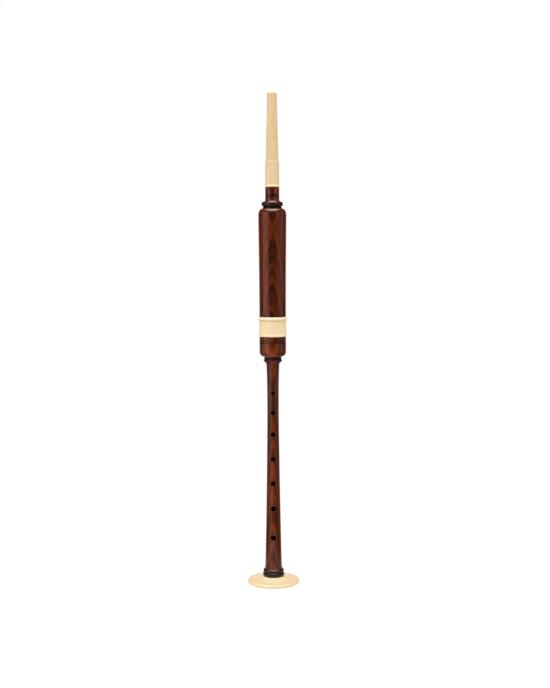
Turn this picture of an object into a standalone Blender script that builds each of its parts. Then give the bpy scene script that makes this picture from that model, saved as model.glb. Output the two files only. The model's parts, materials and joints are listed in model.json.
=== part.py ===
"""Practice chanter: a blown reed instrument in three turned sections that stands on its sole.

Sizes are in metres and +Z is up, along the common axis of the turned pieces. The origin is the
centre of the sole's flat underside, and the seven front finger holes face -Y.

Every joint is sized from the inside out: the bore, then each wall, winding and clearance that
lies round it, so the pieces still fit when one of the sizes below is changed.
"""

import math

import bmesh
import bpy
from mathutils import Matrix

# Fits between the pieces
SEAT_GAP = 0.0003              # between a piece and what it is seated on, glued to or pushed over
SOCKET_END_CLEARANCE = 0.0010  # past the end of a tenon or of the reed, in its socket

# Sole
SOLE_RADIUS = 0.02625
SOLE_HEIGHT = 0.0068           # underside to the ring that carries the foot
SOLE_RIM_HEIGHT = 0.0036
SOLE_RIM_REACH = 0.0027        # how far in the rim's upper rounding reaches
SOLE_UNDER_ROUND = 0.0015      # rounding under the rim
SOLE_RING_RADIUS = 0.0130      # raised ring round the foot
SOLE_RING_RISE = 0.0017        # height of the raised ring above the top of the disc
SOLE_DOME_SHAPE = 0.7          # how the disc falls from the ring to the rim: hollow below 1

# Foot of the lower section
SPIGOT_WALL = 0.0030           # round the bell, where the sole is glued on
SPIGOT_RECESS = 0.0008         # above the underside of the sole
FOOT_RING_RADIUS = 0.0109
FOOT_RING_HEIGHT = 0.00365
FOOT_GROOVE_HEIGHT = 0.0005
FOOT_GROOVE_DEPTH = 0.0009
FOOT_BEAD_RADIUS = 0.0105
FOOT_BEAD_HEIGHT = 0.00305
FOOT_BEAD_UPPER_SHARE = 0.70   # of its height lies above its widest place

# Tube with the finger holes
BORE_RADIUS = 0.00275
BELL_RADIUS = 0.0042           # mouth of the bore, in the foot's spigot
BELL_LENGTH = 0.0060
TUBE_LENGTH = 0.2090           # top of the foot to the collar
TUBE_FOOT_RADIUS = 0.00845
TUBE_WAIST_RADIUS = 0.00587
TUBE_TOP_RADIUS = 0.00664
WAIST_SHARE = 0.775            # where along the tube it is thinnest
LOWER_FLARE = 1.4              # how the tube swells from the waist to the foot
UPPER_FLARE = 3.0              # how it swells from the waist to the collar
FOOT_COVE_REACH = 0.00035      # hollow curve from the tube into the foot's bead
FOOT_COVE_HEIGHT = 0.0100

# Finger holes, from the foot up: share of the tube's length, and diameter
FRONT_HOLES = (
    (0.1574, 0.0053),
    (0.2994, 0.0049),
    (0.4219, 0.0047),
    (0.5402, 0.0047),
    (0.6601, 0.0045),
    (0.7650, 0.0042),
    (0.8594, 0.0037),
)
THUMB_HOLE = (0.9441, 0.0039)

# Collar and head of the lower section
COLLAR_RADIUS = 0.00945
COLLAR_CONE_HEIGHT = 0.0034
COLLAR_BEAD_HEIGHT = 0.0010
COLLAR_GROOVE_DEPTH = 0.0009
COLLAR_GROOVE_HEIGHT = 0.00085
COLLAR_RING_HEIGHT = 0.0009
HEAD_LENGTH = 0.0203           # collar to the joint
HEAD_ROUND_REACH = 0.0050      # rounding under the head, sideways
HEAD_ROUND_HEIGHT = 0.0050

# Cut lines turned into the wood
COMB_WIDTH = 0.0011
COMB_DEPTH = 0.00035
COMB_PITCH = 0.0019
HEAD_COMB_DROP = 0.0043        # joint to the upper cut line
NECK_COMB_RISE = 0.0020        # cove to the lower cut line

# Reed
REED_BORE_RADIUS = 0.0012
REED_WALL = 0.0010
REED_THREAD = 0.0008           # thickness of the thread at the mouth of the seat
REED_SEAT_TAPER = 0.0004
REED_SEAT_DEPTH = 0.0130
REED_COLLAR_RADIUS = 0.0030
REED_COLLAR_HEIGHT = 0.0025
REED_THREAD_PROUD = 0.0014     # how much thread shows above the seat
REED_NECK_HEIGHT = 0.0045      # where the round collar passes into the oval tongue
REED_TONGUE_LENGTH = 0.0055
REED_TONGUE_HALF_WIDTH = 0.0032
REED_TONGUE_WALL = 0.0006      # over the bore, under the blades
BLADE_LENGTH = 0.0252
BLADE_THICKNESS = 0.0007
BLADE_EDGE_GAP = 0.0004        # between the two blades, along their edges
BLADE_ROOT_HALF_WIDTH = 0.0042
BLADE_TIP_HALF_WIDTH = 0.0055
BLADE_TIP_CROWN = 0.00045
BLADE_CROWN_FADE = 1.3         # how the crown dies away towards the tip
BAND_WIRE_RADIUS = 0.0006
BAND_RISE = 0.0085             # foot of the blades to the band

# Joint between the two wooden sections
TENON_LENGTH = 0.0270
TENON_WALL = 0.0045            # reed seat to the bottom of the winding's groove
TENON_WINDING = 0.0012         # thickness of the thread
TENON_RING_HEIGHT = 0.0026     # rings that keep the thread in place
TENON_RING_CLEARANCE = 0.0003  # how far the rings lie under the thread
SOCKET_WALL = 0.0018
FERRULE_WALL = 0.00165
FERRULE_LENGTH = 0.0197
FERRULE_LIP = 0.0020           # thickness of the lip that covers the end of the wood
FERRULE_PROUD = 0.00015        # how far its wall stands proud of the wood above and below
FERRULE_TOP_LAND = 0.0004      # plain edge above the upper bead
FERRULE_TOP_BEAD_REACH = 0.00110
FERRULE_TOP_BEAD_HEIGHT = 0.0030
FERRULE_LOW_BEAD_REACH = 0.00062
FERRULE_LOW_BEAD_HEIGHT = 0.0024

# Upper section
BARREL_LENGTH = 0.1011         # ferrule to the shoulder
BARREL_SWELL = 0.00065         # how much wider the barrel is at the shoulder
BARREL_SWELL_SHAPE = 1.6
BARREL_EDGE = 0.0004           # rounded edge above the ferrule
SHOULDER_REACH = 0.0049
SHOULDER_HEIGHT = 0.0064
RING_GROOVE_HEIGHT = 0.0012
RING_RADIUS = 0.01083
RING_HEIGHT = 0.0052
RING_ROUND_SHARE = 0.45        # share of its height between its top and its widest place
COVE_HEIGHT = 0.0029
COVE_REACH = 0.0016
NECK_LENGTH = 0.0112           # cove to the mouthpiece ferrule
NECK_EDGE = 0.0002             # eased edge under the sleeve's bead
CHAMBER_RADIUS = 0.0085        # where the reed vibrates
CHAMBER_LENGTH = 0.0650
CHAMBER_ROOF = 0.0060          # cone from the chamber to the air passage
AIR_RADIUS = 0.0030

# Mouthpiece and its ferrule
MOUTHPIECE_LENGTH = 0.0664     # what shows above the ferrule
MOUTHPIECE_BORE_RADIUS = 0.0023
MOUTHPIECE_TIP_RADIUS = 0.00480
MOUTHPIECE_SHOULDER_RADIUS = 0.00624
MOUTHPIECE_TIP_ROUND = 0.0017
MOUTHPIECE_TENON_LENGTH = 0.0225
MOUTHPIECE_TENON_WALL = 0.0010
MOUTHPIECE_WINDING = 0.0007
MOUTHPIECE_RING_HEIGHT = 0.0018
NECK_SOCKET_WALL = 0.00105
SLEEVE_WALL = 0.0009
SLEEVE_LENGTH = 0.0258
SLEEVE_LIP = 0.0013
SLEEVE_SPREAD = 0.00017        # how much wider the sleeve is above its bead than at its lip
SLEEVE_ROUND = 0.0004
SLEEVE_BEAD_REACH = 0.00050
SLEEVE_BEAD_HEIGHT = 0.0019

# Roundness of the turned pieces
BARREL_SEGMENTS = 36
CHANTER_SEGMENTS = 30
MOUTHPIECE_SEGMENTS = 24
REED_SEGMENTS = 20
HOLE_SEGMENTS = 16

# Radii that follow from the fits, from the reed's bore outwards
STAPLE_RADIUS = REED_BORE_RADIUS + REED_WALL
REED_THREAD_RADIUS = STAPLE_RADIUS + SEAT_GAP + REED_THREAD
REED_SEAT_RADIUS = REED_THREAD_RADIUS + SEAT_GAP
TENON_GROOVE_RADIUS = REED_SEAT_RADIUS + TENON_WALL
TENON_WINDING_RADIUS = TENON_GROOVE_RADIUS + SEAT_GAP + TENON_WINDING
TENON_RING_RADIUS = TENON_WINDING_RADIUS - TENON_RING_CLEARANCE
SOCKET_RADIUS = TENON_WINDING_RADIUS + SEAT_GAP
BARREL_SPIGOT_RADIUS = SOCKET_RADIUS + SOCKET_WALL
FERRULE_INNER_RADIUS = BARREL_SPIGOT_RADIUS + SEAT_GAP
FERRULE_RADIUS = FERRULE_INNER_RADIUS + FERRULE_WALL
BARREL_RADIUS = FERRULE_RADIUS - FERRULE_PROUD
HEAD_RADIUS = FERRULE_RADIUS - FERRULE_PROUD
SHOULDER_RADIUS = BARREL_RADIUS + BARREL_SWELL

# Radii of the mouthpiece joint, from its bore outwards
MOUTH_GROOVE_RADIUS = MOUTHPIECE_BORE_RADIUS + MOUTHPIECE_TENON_WALL
MOUTH_WINDING_RADIUS = MOUTH_GROOVE_RADIUS + SEAT_GAP + MOUTHPIECE_WINDING
MOUTH_RING_RADIUS = MOUTH_WINDING_RADIUS - TENON_RING_CLEARANCE
NECK_SOCKET_RADIUS = MOUTH_WINDING_RADIUS + SEAT_GAP
NECK_SPIGOT_RADIUS = NECK_SOCKET_RADIUS + NECK_SOCKET_WALL
SLEEVE_INNER_RADIUS = NECK_SPIGOT_RADIUS + SEAT_GAP
SLEEVE_RADIUS = SLEEVE_INNER_RADIUS + SLEEVE_WALL
NECK_RADIUS = SLEEVE_RADIUS + SLEEVE_SPREAD

# Heights inside the lower section, from the underside of its foot
FOOT_RING_TOP = FOOT_RING_HEIGHT
FOOT_GROOVE_TOP = FOOT_RING_TOP + FOOT_GROOVE_HEIGHT
TUBE_BOTTOM = FOOT_GROOVE_TOP + FOOT_BEAD_HEIGHT
TUBE_TOP = TUBE_BOTTOM + TUBE_LENGTH
COLLAR_CONE_TOP = TUBE_TOP + COLLAR_CONE_HEIGHT
COLLAR_BEAD_TOP = COLLAR_CONE_TOP + COLLAR_BEAD_HEIGHT
COLLAR_RING_BOTTOM = COLLAR_BEAD_TOP + COLLAR_GROOVE_HEIGHT
COLLAR_RING_TOP = COLLAR_RING_BOTTOM + COLLAR_RING_HEIGHT
HEAD_BOTTOM = COLLAR_RING_TOP + COLLAR_GROOVE_HEIGHT
JOINT_FACE = HEAD_BOTTOM + HEAD_LENGTH
TENON_TOP = JOINT_FACE + TENON_LENGTH

# Heights inside the upper section, from the underside of its ferrule
BARREL_SPIGOT_BOTTOM = FERRULE_LIP + SEAT_GAP
BARREL_BOTTOM = FERRULE_LENGTH + SEAT_GAP
SHOULDER_BOTTOM = BARREL_BOTTOM + BARREL_LENGTH
SHOULDER_TOP = SHOULDER_BOTTOM + SHOULDER_HEIGHT
RING_BOTTOM = SHOULDER_TOP + RING_GROOVE_HEIGHT
RING_TOP = RING_BOTTOM + RING_HEIGHT
COVE_TOP = RING_TOP + COVE_HEIGHT
NECK_TOP = COVE_TOP + NECK_LENGTH
SLEEVE_BOTTOM = NECK_TOP + SEAT_GAP
SLEEVE_TOP = SLEEVE_BOTTOM + SLEEVE_LENGTH
NECK_SPIGOT_TOP = SLEEVE_TOP - SLEEVE_LIP - SEAT_GAP
SOCKET_END = TENON_LENGTH - SEAT_GAP + SOCKET_END_CLEARANCE
CHAMBER_TOP = SOCKET_END + CHAMBER_LENGTH
MOUTHPIECE_SEAT = SLEEVE_TOP + SEAT_GAP
NECK_SOCKET_FLOOR = MOUTHPIECE_SEAT - MOUTHPIECE_TENON_LENGTH - SOCKET_END_CLEARANCE

# Places of the joints in the whole instrument
FOOT_SEAT = SOLE_HEIGHT + SEAT_GAP
TOP_PULL_HEIGHT = FOOT_SEAT + JOINT_FACE + SEAT_GAP
REED_PULL_HEIGHT = FOOT_SEAT + TENON_TOP

WOOD = (0.110, 0.024, 0.010)
WOOD_DARK = (0.085, 0.018, 0.008)
IVORY = (0.871, 0.679, 0.402)
IVORY_WARM = (0.791, 0.571, 0.305)
HEMP = (0.58, 0.40, 0.17)
REED_PLASTIC = (0.80, 0.74, 0.58)
BLADE_PLASTIC = (0.74, 0.60, 0.33)
BAND_RUBBER = (0.020, 0.020, 0.022)


def clear_scene():
    """Remove what the file starts with."""
    for thing in list(bpy.data.objects):
        bpy.data.objects.remove(thing, do_unlink=True)


def make_collection(name):
    """A new collection, linked to the scene."""
    collection = bpy.data.collections.new(name)
    bpy.context.scene.collection.children.link(collection)
    return collection


def finish(name, colour, roughness, coat=0.0):
    """A Principled material for one piece."""
    material = bpy.data.materials.new(name)
    material.use_nodes = True
    shader = material.node_tree.nodes["Principled BSDF"]
    shader.inputs["Base Color"].default_value = (*colour, 1.0)
    shader.inputs["Roughness"].default_value = roughness
    shader.inputs["Metallic"].default_value = 0.0
    shader.inputs["Coat Weight"].default_value = coat
    material.diffuse_color = (*colour, 1.0)
    return material


def arc(centre, reach, start, end, steps):
    """Points on an ellipse round centre (r, z). Angles are in degrees: 0 outwards, 90 upwards."""
    points = []
    for step in range(steps + 1):
        angle = math.radians(start + (end - start) * step / steps)
        points.append((centre[0] + reach[0] * math.cos(angle), centre[1] + reach[1] * math.sin(angle)))
    return points


def bead(radius, top, reach, height, steps=6):
    """A half-round bead on a wall of the given radius, from its top down."""
    return arc((radius, top - height / 2), (reach, height / 2), 90, -90, steps)


def comb_line(radius, height):
    """One cut line: a narrow V groove in a wall of the given radius."""
    half = COMB_WIDTH / 2
    return [(radius, height + half), (radius - COMB_DEPTH, height), (radius, height - half)]


def put(piece, collection, location, parent):
    """Link a piece, place it and hang it on its parent."""
    collection.objects.link(piece)
    piece.location = location
    piece.parent = parent
    return piece


def turned(name, outline, segments, material):
    """A turned piece: a closed outline of (r, z) points, spun round Z with a Screw modifier.

    The outline runs outwards over the top, down the outer side, inwards under the bottom and up
    the bore. A point that repeats the one before it is left out.
    """
    points = [outline[-1]]
    for point in outline:
        if math.dist(point, points[-1]) > 1e-6:
            points.append(point)
    points = points[1:] if math.dist(points[0], points[-1]) < 1e-6 else points
    count = len(points)
    mesh = bpy.data.meshes.new(name)
    edges = [(index, (index + 1) % count) for index in range(count)]
    mesh.from_pydata([(r, 0.0, z) for r, z in points], edges, [])
    mesh.materials.append(material)
    piece = bpy.data.objects.new(name, mesh)
    spin = piece.modifiers.new("Turn", "SCREW")
    spin.axis = "Z"
    spin.angle = math.tau
    spin.steps = segments
    spin.render_steps = segments
    spin.use_smooth_shade = True
    return piece


def drill(name, radius, height, side, cutters, parent):
    """A cutter for one finger hole, from outside the tube on one side (-1 front, 1 back) to its axis."""
    length = 2 * TUBE_FOOT_RADIUS
    mesh = bpy.data.meshes.new(name)
    form = bmesh.new()
    bmesh.ops.create_cone(form, cap_ends=True, segments=HOLE_SEGMENTS, radius1=radius, radius2=radius,
                          depth=length)
    bmesh.ops.rotate(form, verts=form.verts, matrix=Matrix.Rotation(math.pi / 2, 3, "X"))
    bmesh.ops.translate(form, verts=form.verts, vec=(0.0, side * length / 2, 0.0))
    form.to_mesh(mesh)
    form.free()
    cutter = put(bpy.data.objects.new(name, mesh), cutters, (0.0, 0.0, height), parent)
    cutter.hide_render = True
    cutter.display_type = "WIRE"
    return cutter


def cut(piece, cutter):
    """Take the cutter's shape out of the piece."""
    boolean = piece.modifiers.new(cutter.name, "BOOLEAN")
    boolean.operation = "DIFFERENCE"
    boolean.solver = "EXACT"
    boolean.object = cutter


def sole_outline():
    """Disc with a raised ring round the foot, a hollow upper side, a rounded rim and a flat underside."""
    hole = BELL_RADIUS + SPIGOT_WALL + SEAT_GAP
    dome_top = SOLE_HEIGHT - SOLE_RING_RISE
    rim_centre = (SOLE_RADIUS - SOLE_RIM_REACH, SOLE_UNDER_ROUND)
    rim = arc(rim_centre, (SOLE_RIM_REACH, SOLE_RIM_HEIGHT - SOLE_UNDER_ROUND), 75, 0, 6)
    under = arc((SOLE_RADIUS - SOLE_UNDER_ROUND, SOLE_UNDER_ROUND), (SOLE_UNDER_ROUND,) * 2, 0, -90, 4)
    dome = []
    steps = 4
    for step in range(1, steps):
        share = step / steps
        radius = SOLE_RING_RADIUS + (rim[0][0] - SOLE_RING_RADIUS) * share
        dome.append((radius, dome_top + (rim[0][1] - dome_top) * share ** SOLE_DOME_SHAPE))
    ring = arc((SOLE_RING_RADIUS - SOLE_RING_RISE, dome_top), (SOLE_RING_RISE,) * 2, 90, 0, 3)
    return [(hole, SOLE_HEIGHT)] + ring + dome + rim + under + [(hole, 0.0)]


def tube_radius(height):
    """Outer radius of the tube at a height above its lower end."""
    waist = WAIST_SHARE * TUBE_LENGTH
    if height < waist:
        share = (waist - height) / waist
        cove = FOOT_COVE_REACH * max(0.0, 1 - height / FOOT_COVE_HEIGHT) ** 2
        return TUBE_WAIST_RADIUS + (TUBE_FOOT_RADIUS - TUBE_WAIST_RADIUS) * share ** LOWER_FLARE + cove
    share = (height - waist) / (TUBE_LENGTH - waist)
    return TUBE_WAIST_RADIUS + (TUBE_TOP_RADIUS - TUBE_WAIST_RADIUS) * share ** UPPER_FLARE


def tube_stations(below_waist, above_waist):
    """The tube's outer side, top down, closer together where it flares to the collar."""
    waist = WAIST_SHARE * TUBE_LENGTH
    above = TUBE_LENGTH - waist
    heights = [waist + above * (1 - (step / above_waist) ** 2) for step in range(above_waist)]
    heights += [waist + (FOOT_COVE_HEIGHT - waist) * step / below_waist for step in range(below_waist + 1)]
    heights += [FOOT_COVE_HEIGHT / 2, 0.0]
    return [(tube_radius(height), TUBE_BOTTOM + height) for height in heights]


def head_outline():
    """Head with its two cut lines and its round underside, top down."""
    points = [(HEAD_RADIUS - SEAT_GAP, JOINT_FACE), (HEAD_RADIUS, JOINT_FACE - SEAT_GAP)]
    for line in range(2):
        points += comb_line(HEAD_RADIUS, JOINT_FACE - HEAD_COMB_DROP - line * COMB_PITCH)
    centre = (HEAD_RADIUS - HEAD_ROUND_REACH, HEAD_BOTTOM + HEAD_ROUND_HEIGHT)
    return points + arc(centre, (HEAD_ROUND_REACH, HEAD_ROUND_HEIGHT), 0, -90, 6)


def collar_outline():
    """Groove, thin ring, groove, bead and cone under the head, top down."""
    groove = COLLAR_RADIUS - COLLAR_GROOVE_DEPTH
    ring_reach = COLLAR_GROOVE_DEPTH / 2
    points = [(groove, HEAD_BOTTOM)]
    points += bead(groove, COLLAR_RING_TOP, ring_reach, COLLAR_RING_HEIGHT, 4)
    points += [(groove, COLLAR_BEAD_TOP)]
    points += arc((groove, COLLAR_CONE_TOP), (COLLAR_GROOVE_DEPTH, COLLAR_BEAD_HEIGHT), 90, -20, 4)
    return points


def foot_outline():
    """Bead, groove and ring at the foot, top down to the seat on the sole."""
    groove = FOOT_BEAD_RADIUS - FOOT_GROOVE_DEPTH
    inner = tube_radius(0.0)
    upper = FOOT_BEAD_HEIGHT * FOOT_BEAD_UPPER_SHARE
    lower = FOOT_BEAD_HEIGHT - upper
    points = arc((inner, TUBE_BOTTOM - upper), (FOOT_BEAD_RADIUS - inner, upper), 80, 0, 4)
    points += arc((groove, FOOT_GROOVE_TOP + lower), (FOOT_GROOVE_DEPTH, lower), 0, -90, 3)[1:]
    points += [(groove, FOOT_RING_TOP)]
    ring_reach = FOOT_RING_RADIUS - groove
    points += bead(groove, FOOT_RING_TOP, ring_reach, FOOT_RING_HEIGHT)[1:-1]
    return points + [(FOOT_RING_RADIUS - ring_reach / 2, 0.0)]


def winding_groove(groove_radius, ring_radius, top, bottom, ring_height):
    """Outer side of a tenon, top down: a ring, the groove for the thread and a second ring."""
    edge = SEAT_GAP
    return [
        (ring_radius - edge, top),
        (ring_radius, top - edge),
        (ring_radius, top - ring_height),
        (groove_radius, top - ring_height),
        (groove_radius, bottom + ring_height),
        (ring_radius, bottom + ring_height),
        (ring_radius, bottom),
    ]


def winding_outline(groove_radius, thickness, top, bottom):
    """Thread wound in a groove between top and bottom, with rounded ends."""
    inner = groove_radius + SEAT_GAP
    outer = inner + thickness
    high = top - SEAT_GAP
    low = bottom + SEAT_GAP
    edge = thickness / 2
    points = [(inner, high)]
    points += arc((outer - edge, high - edge), (edge, edge), 90, 0, 1)
    points += arc((outer - edge, low + edge), (edge, edge), 0, -90, 1)
    return points + [(inner, low)]


def chanter_outline():
    """Lower section: tenon, head, collar, tube, foot and spigot outside, bore and reed seat inside."""
    seat_floor = TENON_TOP - REED_SEAT_DEPTH
    spigot_end = SPIGOT_RECESS - FOOT_SEAT
    spigot = BELL_RADIUS + SPIGOT_WALL
    points = [(REED_SEAT_RADIUS, TENON_TOP)]
    points += winding_groove(TENON_GROOVE_RADIUS, TENON_RING_RADIUS, TENON_TOP, JOINT_FACE, TENON_RING_HEIGHT)
    points += head_outline() + collar_outline() + tube_stations(7, 5) + foot_outline()
    points += [(spigot, 0.0), (spigot, spigot_end), (BELL_RADIUS, spigot_end)]
    points += [(BORE_RADIUS, spigot_end + BELL_LENGTH), (BORE_RADIUS, seat_floor)]
    return points + [(REED_SEAT_RADIUS - REED_SEAT_TAPER, seat_floor)]


def ferrule_outline():
    """Ring with a bead at each end and a lip that covers the end of the wood."""
    top = bead(FERRULE_RADIUS, FERRULE_LENGTH - FERRULE_TOP_LAND, FERRULE_TOP_BEAD_REACH,
               FERRULE_TOP_BEAD_HEIGHT)
    low = bead(FERRULE_RADIUS, FERRULE_LOW_BEAD_HEIGHT, FERRULE_LOW_BEAD_REACH, FERRULE_LOW_BEAD_HEIGHT)
    points = [(FERRULE_INNER_RADIUS, FERRULE_LENGTH), (FERRULE_RADIUS, FERRULE_LENGTH)] + top + low
    points += [(SOCKET_RADIUS, 0.0), (SOCKET_RADIUS, FERRULE_LIP)]
    return points + [(FERRULE_INNER_RADIUS, FERRULE_LIP)]


def barrel_stations(steps):
    """The barrel's outer side, from under the shoulder down to its edge above the ferrule."""
    points = []
    for step in range(1, steps + 1):
        share = 1 - step / steps
        height = BARREL_BOTTOM + BARREL_EDGE + (BARREL_LENGTH - BARREL_EDGE) * share
        points.append((BARREL_RADIUS + BARREL_SWELL * share ** BARREL_SWELL_SHAPE, height))
    return points + [(BARREL_RADIUS - BARREL_EDGE, BARREL_BOTTOM)]


def ring_outline():
    """Cove, ring and groove between the neck and the barrel's shoulder, top down."""
    groove = SHOULDER_RADIUS - SHOULDER_REACH
    half = RING_HEIGHT * RING_ROUND_SHARE
    points = arc((NECK_RADIUS + COVE_REACH, COVE_TOP), (COVE_REACH, COVE_HEIGHT), 180, 270, 4)
    points += arc((groove, RING_TOP - half), (RING_RADIUS - groove, half), 90, -60, 6)
    points += [(groove, RING_BOTTOM)]
    return points + arc((groove, SHOULDER_BOTTOM), (SHOULDER_REACH, SHOULDER_HEIGHT), 90, 0, 7)


def top_outline():
    """Upper section: neck, ring and barrel outside; socket, reed chamber and air passage inside."""
    points = [(NECK_SOCKET_RADIUS, NECK_SPIGOT_TOP), (NECK_SPIGOT_RADIUS, NECK_SPIGOT_TOP)]
    points += [(NECK_SPIGOT_RADIUS, NECK_TOP), (NECK_RADIUS - NECK_EDGE, NECK_TOP)]
    points += [(NECK_RADIUS, NECK_TOP - NECK_EDGE)]
    for line in (1, 0):
        points += comb_line(NECK_RADIUS, COVE_TOP + NECK_COMB_RISE + line * COMB_PITCH)
    points += ring_outline() + barrel_stations(6)
    points += [(BARREL_SPIGOT_RADIUS, BARREL_BOTTOM), (BARREL_SPIGOT_RADIUS, BARREL_SPIGOT_BOTTOM)]
    points += [(SOCKET_RADIUS, BARREL_SPIGOT_BOTTOM), (SOCKET_RADIUS, SOCKET_END)]
    points += [(CHAMBER_RADIUS, SOCKET_END), (CHAMBER_RADIUS, CHAMBER_TOP)]
    points += [(AIR_RADIUS, CHAMBER_TOP + CHAMBER_ROOF), (AIR_RADIUS, NECK_SOCKET_FLOOR)]
    return points + [(NECK_SOCKET_RADIUS, NECK_SOCKET_FLOOR)]


def sleeve_outline():
    """Mouthpiece ferrule: a sleeve with a lip over the end of the neck and a bead at its foot."""
    foot_radius = SLEEVE_RADIUS + SLEEVE_SPREAD
    edge_centre = (SLEEVE_RADIUS - SLEEVE_ROUND, SLEEVE_LENGTH - SLEEVE_ROUND)
    points = [(NECK_SOCKET_RADIUS, SLEEVE_LENGTH)]
    points += arc(edge_centre, (SLEEVE_ROUND, SLEEVE_ROUND), 90, 0, 3)
    points += bead(foot_radius, SLEEVE_BEAD_HEIGHT, SLEEVE_BEAD_REACH, SLEEVE_BEAD_HEIGHT)
    points += [(SLEEVE_INNER_RADIUS, 0.0), (SLEEVE_INNER_RADIUS, SLEEVE_LENGTH - SLEEVE_LIP)]
    return points + [(NECK_SOCKET_RADIUS, SLEEVE_LENGTH - SLEEVE_LIP)]


def mouthpiece_outline():
    """Tapered tube with a rounded tip above its shoulder, and a tenon below it."""
    edge = MOUTHPIECE_TIP_ROUND
    inner_edge = edge / 2
    tip = MOUTHPIECE_LENGTH
    points = arc((MOUTHPIECE_BORE_RADIUS + inner_edge, tip - inner_edge), (inner_edge,) * 2, 180, 90, 3)
    points += arc((MOUTHPIECE_TIP_RADIUS - edge, tip - edge), (edge, edge), 90, 0, 4)
    points += [(MOUTHPIECE_SHOULDER_RADIUS, SEAT_GAP), (MOUTHPIECE_SHOULDER_RADIUS - SEAT_GAP, 0.0)]
    end = -MOUTHPIECE_TENON_LENGTH
    tenon = winding_groove(MOUTH_GROOVE_RADIUS, MOUTH_RING_RADIUS, 0.0, end, MOUTHPIECE_RING_HEIGHT)
    return points + [(MOUTH_RING_RADIUS, 0.0)] + tenon[2:] + [(MOUTHPIECE_BORE_RADIUS, end)]


def reed_thread_outline():
    """Thread round the reed's base, tapered like its seat, with a little of it showing above."""
    bottom = SOCKET_END_CLEARANCE - REED_SEAT_DEPTH
    inner = STAPLE_RADIUS + SEAT_GAP
    low_radius = REED_THREAD_RADIUS - REED_SEAT_TAPER
    points = [(inner, REED_THREAD_PROUD), (REED_THREAD_RADIUS - SEAT_GAP, REED_THREAD_PROUD)]
    points += [(REED_THREAD_RADIUS, REED_THREAD_PROUD / 2), (REED_THREAD_RADIUS, 0.0)]
    return points + [(low_radius, bottom + SEAT_GAP), (low_radius - SEAT_GAP, bottom), (inner, bottom)]


def reed_body(material):
    """Moulded tube of the reed: a loft from a round base through a collar to an oval tongue."""
    bottom = SOCKET_END_CLEARANCE / 2 - REED_SEAT_DEPTH
    collar_low = REED_THREAD_PROUD + SEAT_GAP
    collar_high = collar_low + REED_COLLAR_HEIGHT
    tongue_low = collar_high + REED_NECK_HEIGHT
    tongue_high = tongue_low + REED_TONGUE_LENGTH
    tongue = (REED_TONGUE_HALF_WIDTH, REED_BORE_RADIUS + REED_TONGUE_WALL)
    bore = (REED_BORE_RADIUS, REED_BORE_RADIUS)
    sections = [
        (bottom, (STAPLE_RADIUS, STAPLE_RADIUS)),
        (collar_low, (STAPLE_RADIUS, STAPLE_RADIUS)),
        (collar_low, (REED_COLLAR_RADIUS, REED_COLLAR_RADIUS)),
        (collar_high, (REED_COLLAR_RADIUS, REED_COLLAR_RADIUS)),
        (tongue_low, tongue),
        (tongue_high, tongue),
        (tongue_high, bore),
        (bottom, bore),
    ]
    corners = []
    for height, (reach_x, reach_y) in sections:
        for step in range(REED_SEGMENTS):
            angle = math.tau * step / REED_SEGMENTS
            corners.append((reach_x * math.cos(angle), reach_y * math.sin(angle), height))
    faces = []
    for ring in range(len(sections)):
        here = ring * REED_SEGMENTS
        after = (ring + 1) % len(sections) * REED_SEGMENTS
        for step in range(REED_SEGMENTS):
            side = (step + 1) % REED_SEGMENTS
            faces.append((here + step, here + side, after + side, after + step))
    mesh = bpy.data.meshes.new("reed_body")
    mesh.from_pydata(corners, [], faces)
    mesh.materials.append(material)
    return bpy.data.objects.new("reed_body", mesh)


def blade_foot():
    """Height of the foot of the blades above the reed seat's mouth."""
    return REED_THREAD_PROUD + SEAT_GAP + REED_COLLAR_HEIGHT + REED_NECK_HEIGHT + SEAT_GAP


def blade_half_width(share):
    """Half the width of a blade, at a share of its length from its foot."""
    return BLADE_ROOT_HALF_WIDTH + (BLADE_TIP_HALF_WIDTH - BLADE_ROOT_HALF_WIDTH) * share


def blade_crown(share):
    """How far a blade's inner face bulges: over the tongue near its foot, then flatter to its tip."""
    over_tongue = REED_BORE_RADIUS + REED_TONGUE_WALL + SEAT_GAP - BLADE_EDGE_GAP / 2
    grip = REED_TONGUE_LENGTH / BLADE_LENGTH
    free = max(0.0, (share - grip) / (1 - grip))
    return BLADE_TIP_CROWN + (over_tongue - BLADE_TIP_CROWN) * (1 - free) ** BLADE_CROWN_FADE


def reed_blade(name, side, material):
    """One blade: a curved strip with its wall grown outwards. Side is -1 for the front, 1 for the back."""
    across = 6
    along = 7
    corners = []
    for row in range(along + 1):
        share = row / along
        half = blade_half_width(share)
        for column in range(across + 1):
            place = 2 * column / across - 1
            depth = BLADE_EDGE_GAP / 2 + blade_crown(share) * (1 - place * place)
            corners.append((half * place, side * depth, blade_foot() + BLADE_LENGTH * share))
    faces = []
    for row in range(along):
        for column in range(across):
            low = row * (across + 1) + column
            high = low + across + 1
            face = (low, low + 1, high + 1, high)
            faces.append(face if side < 0 else tuple(reversed(face)))
    mesh = bpy.data.meshes.new(name)
    mesh.from_pydata(corners, [], faces)
    mesh.materials.append(material)
    blade = bpy.data.objects.new(name, mesh)
    wall = blade.modifiers.new("Wall", "SOLIDIFY")
    wall.thickness = BLADE_THICKNESS
    wall.offset = 1.0
    return blade


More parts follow.
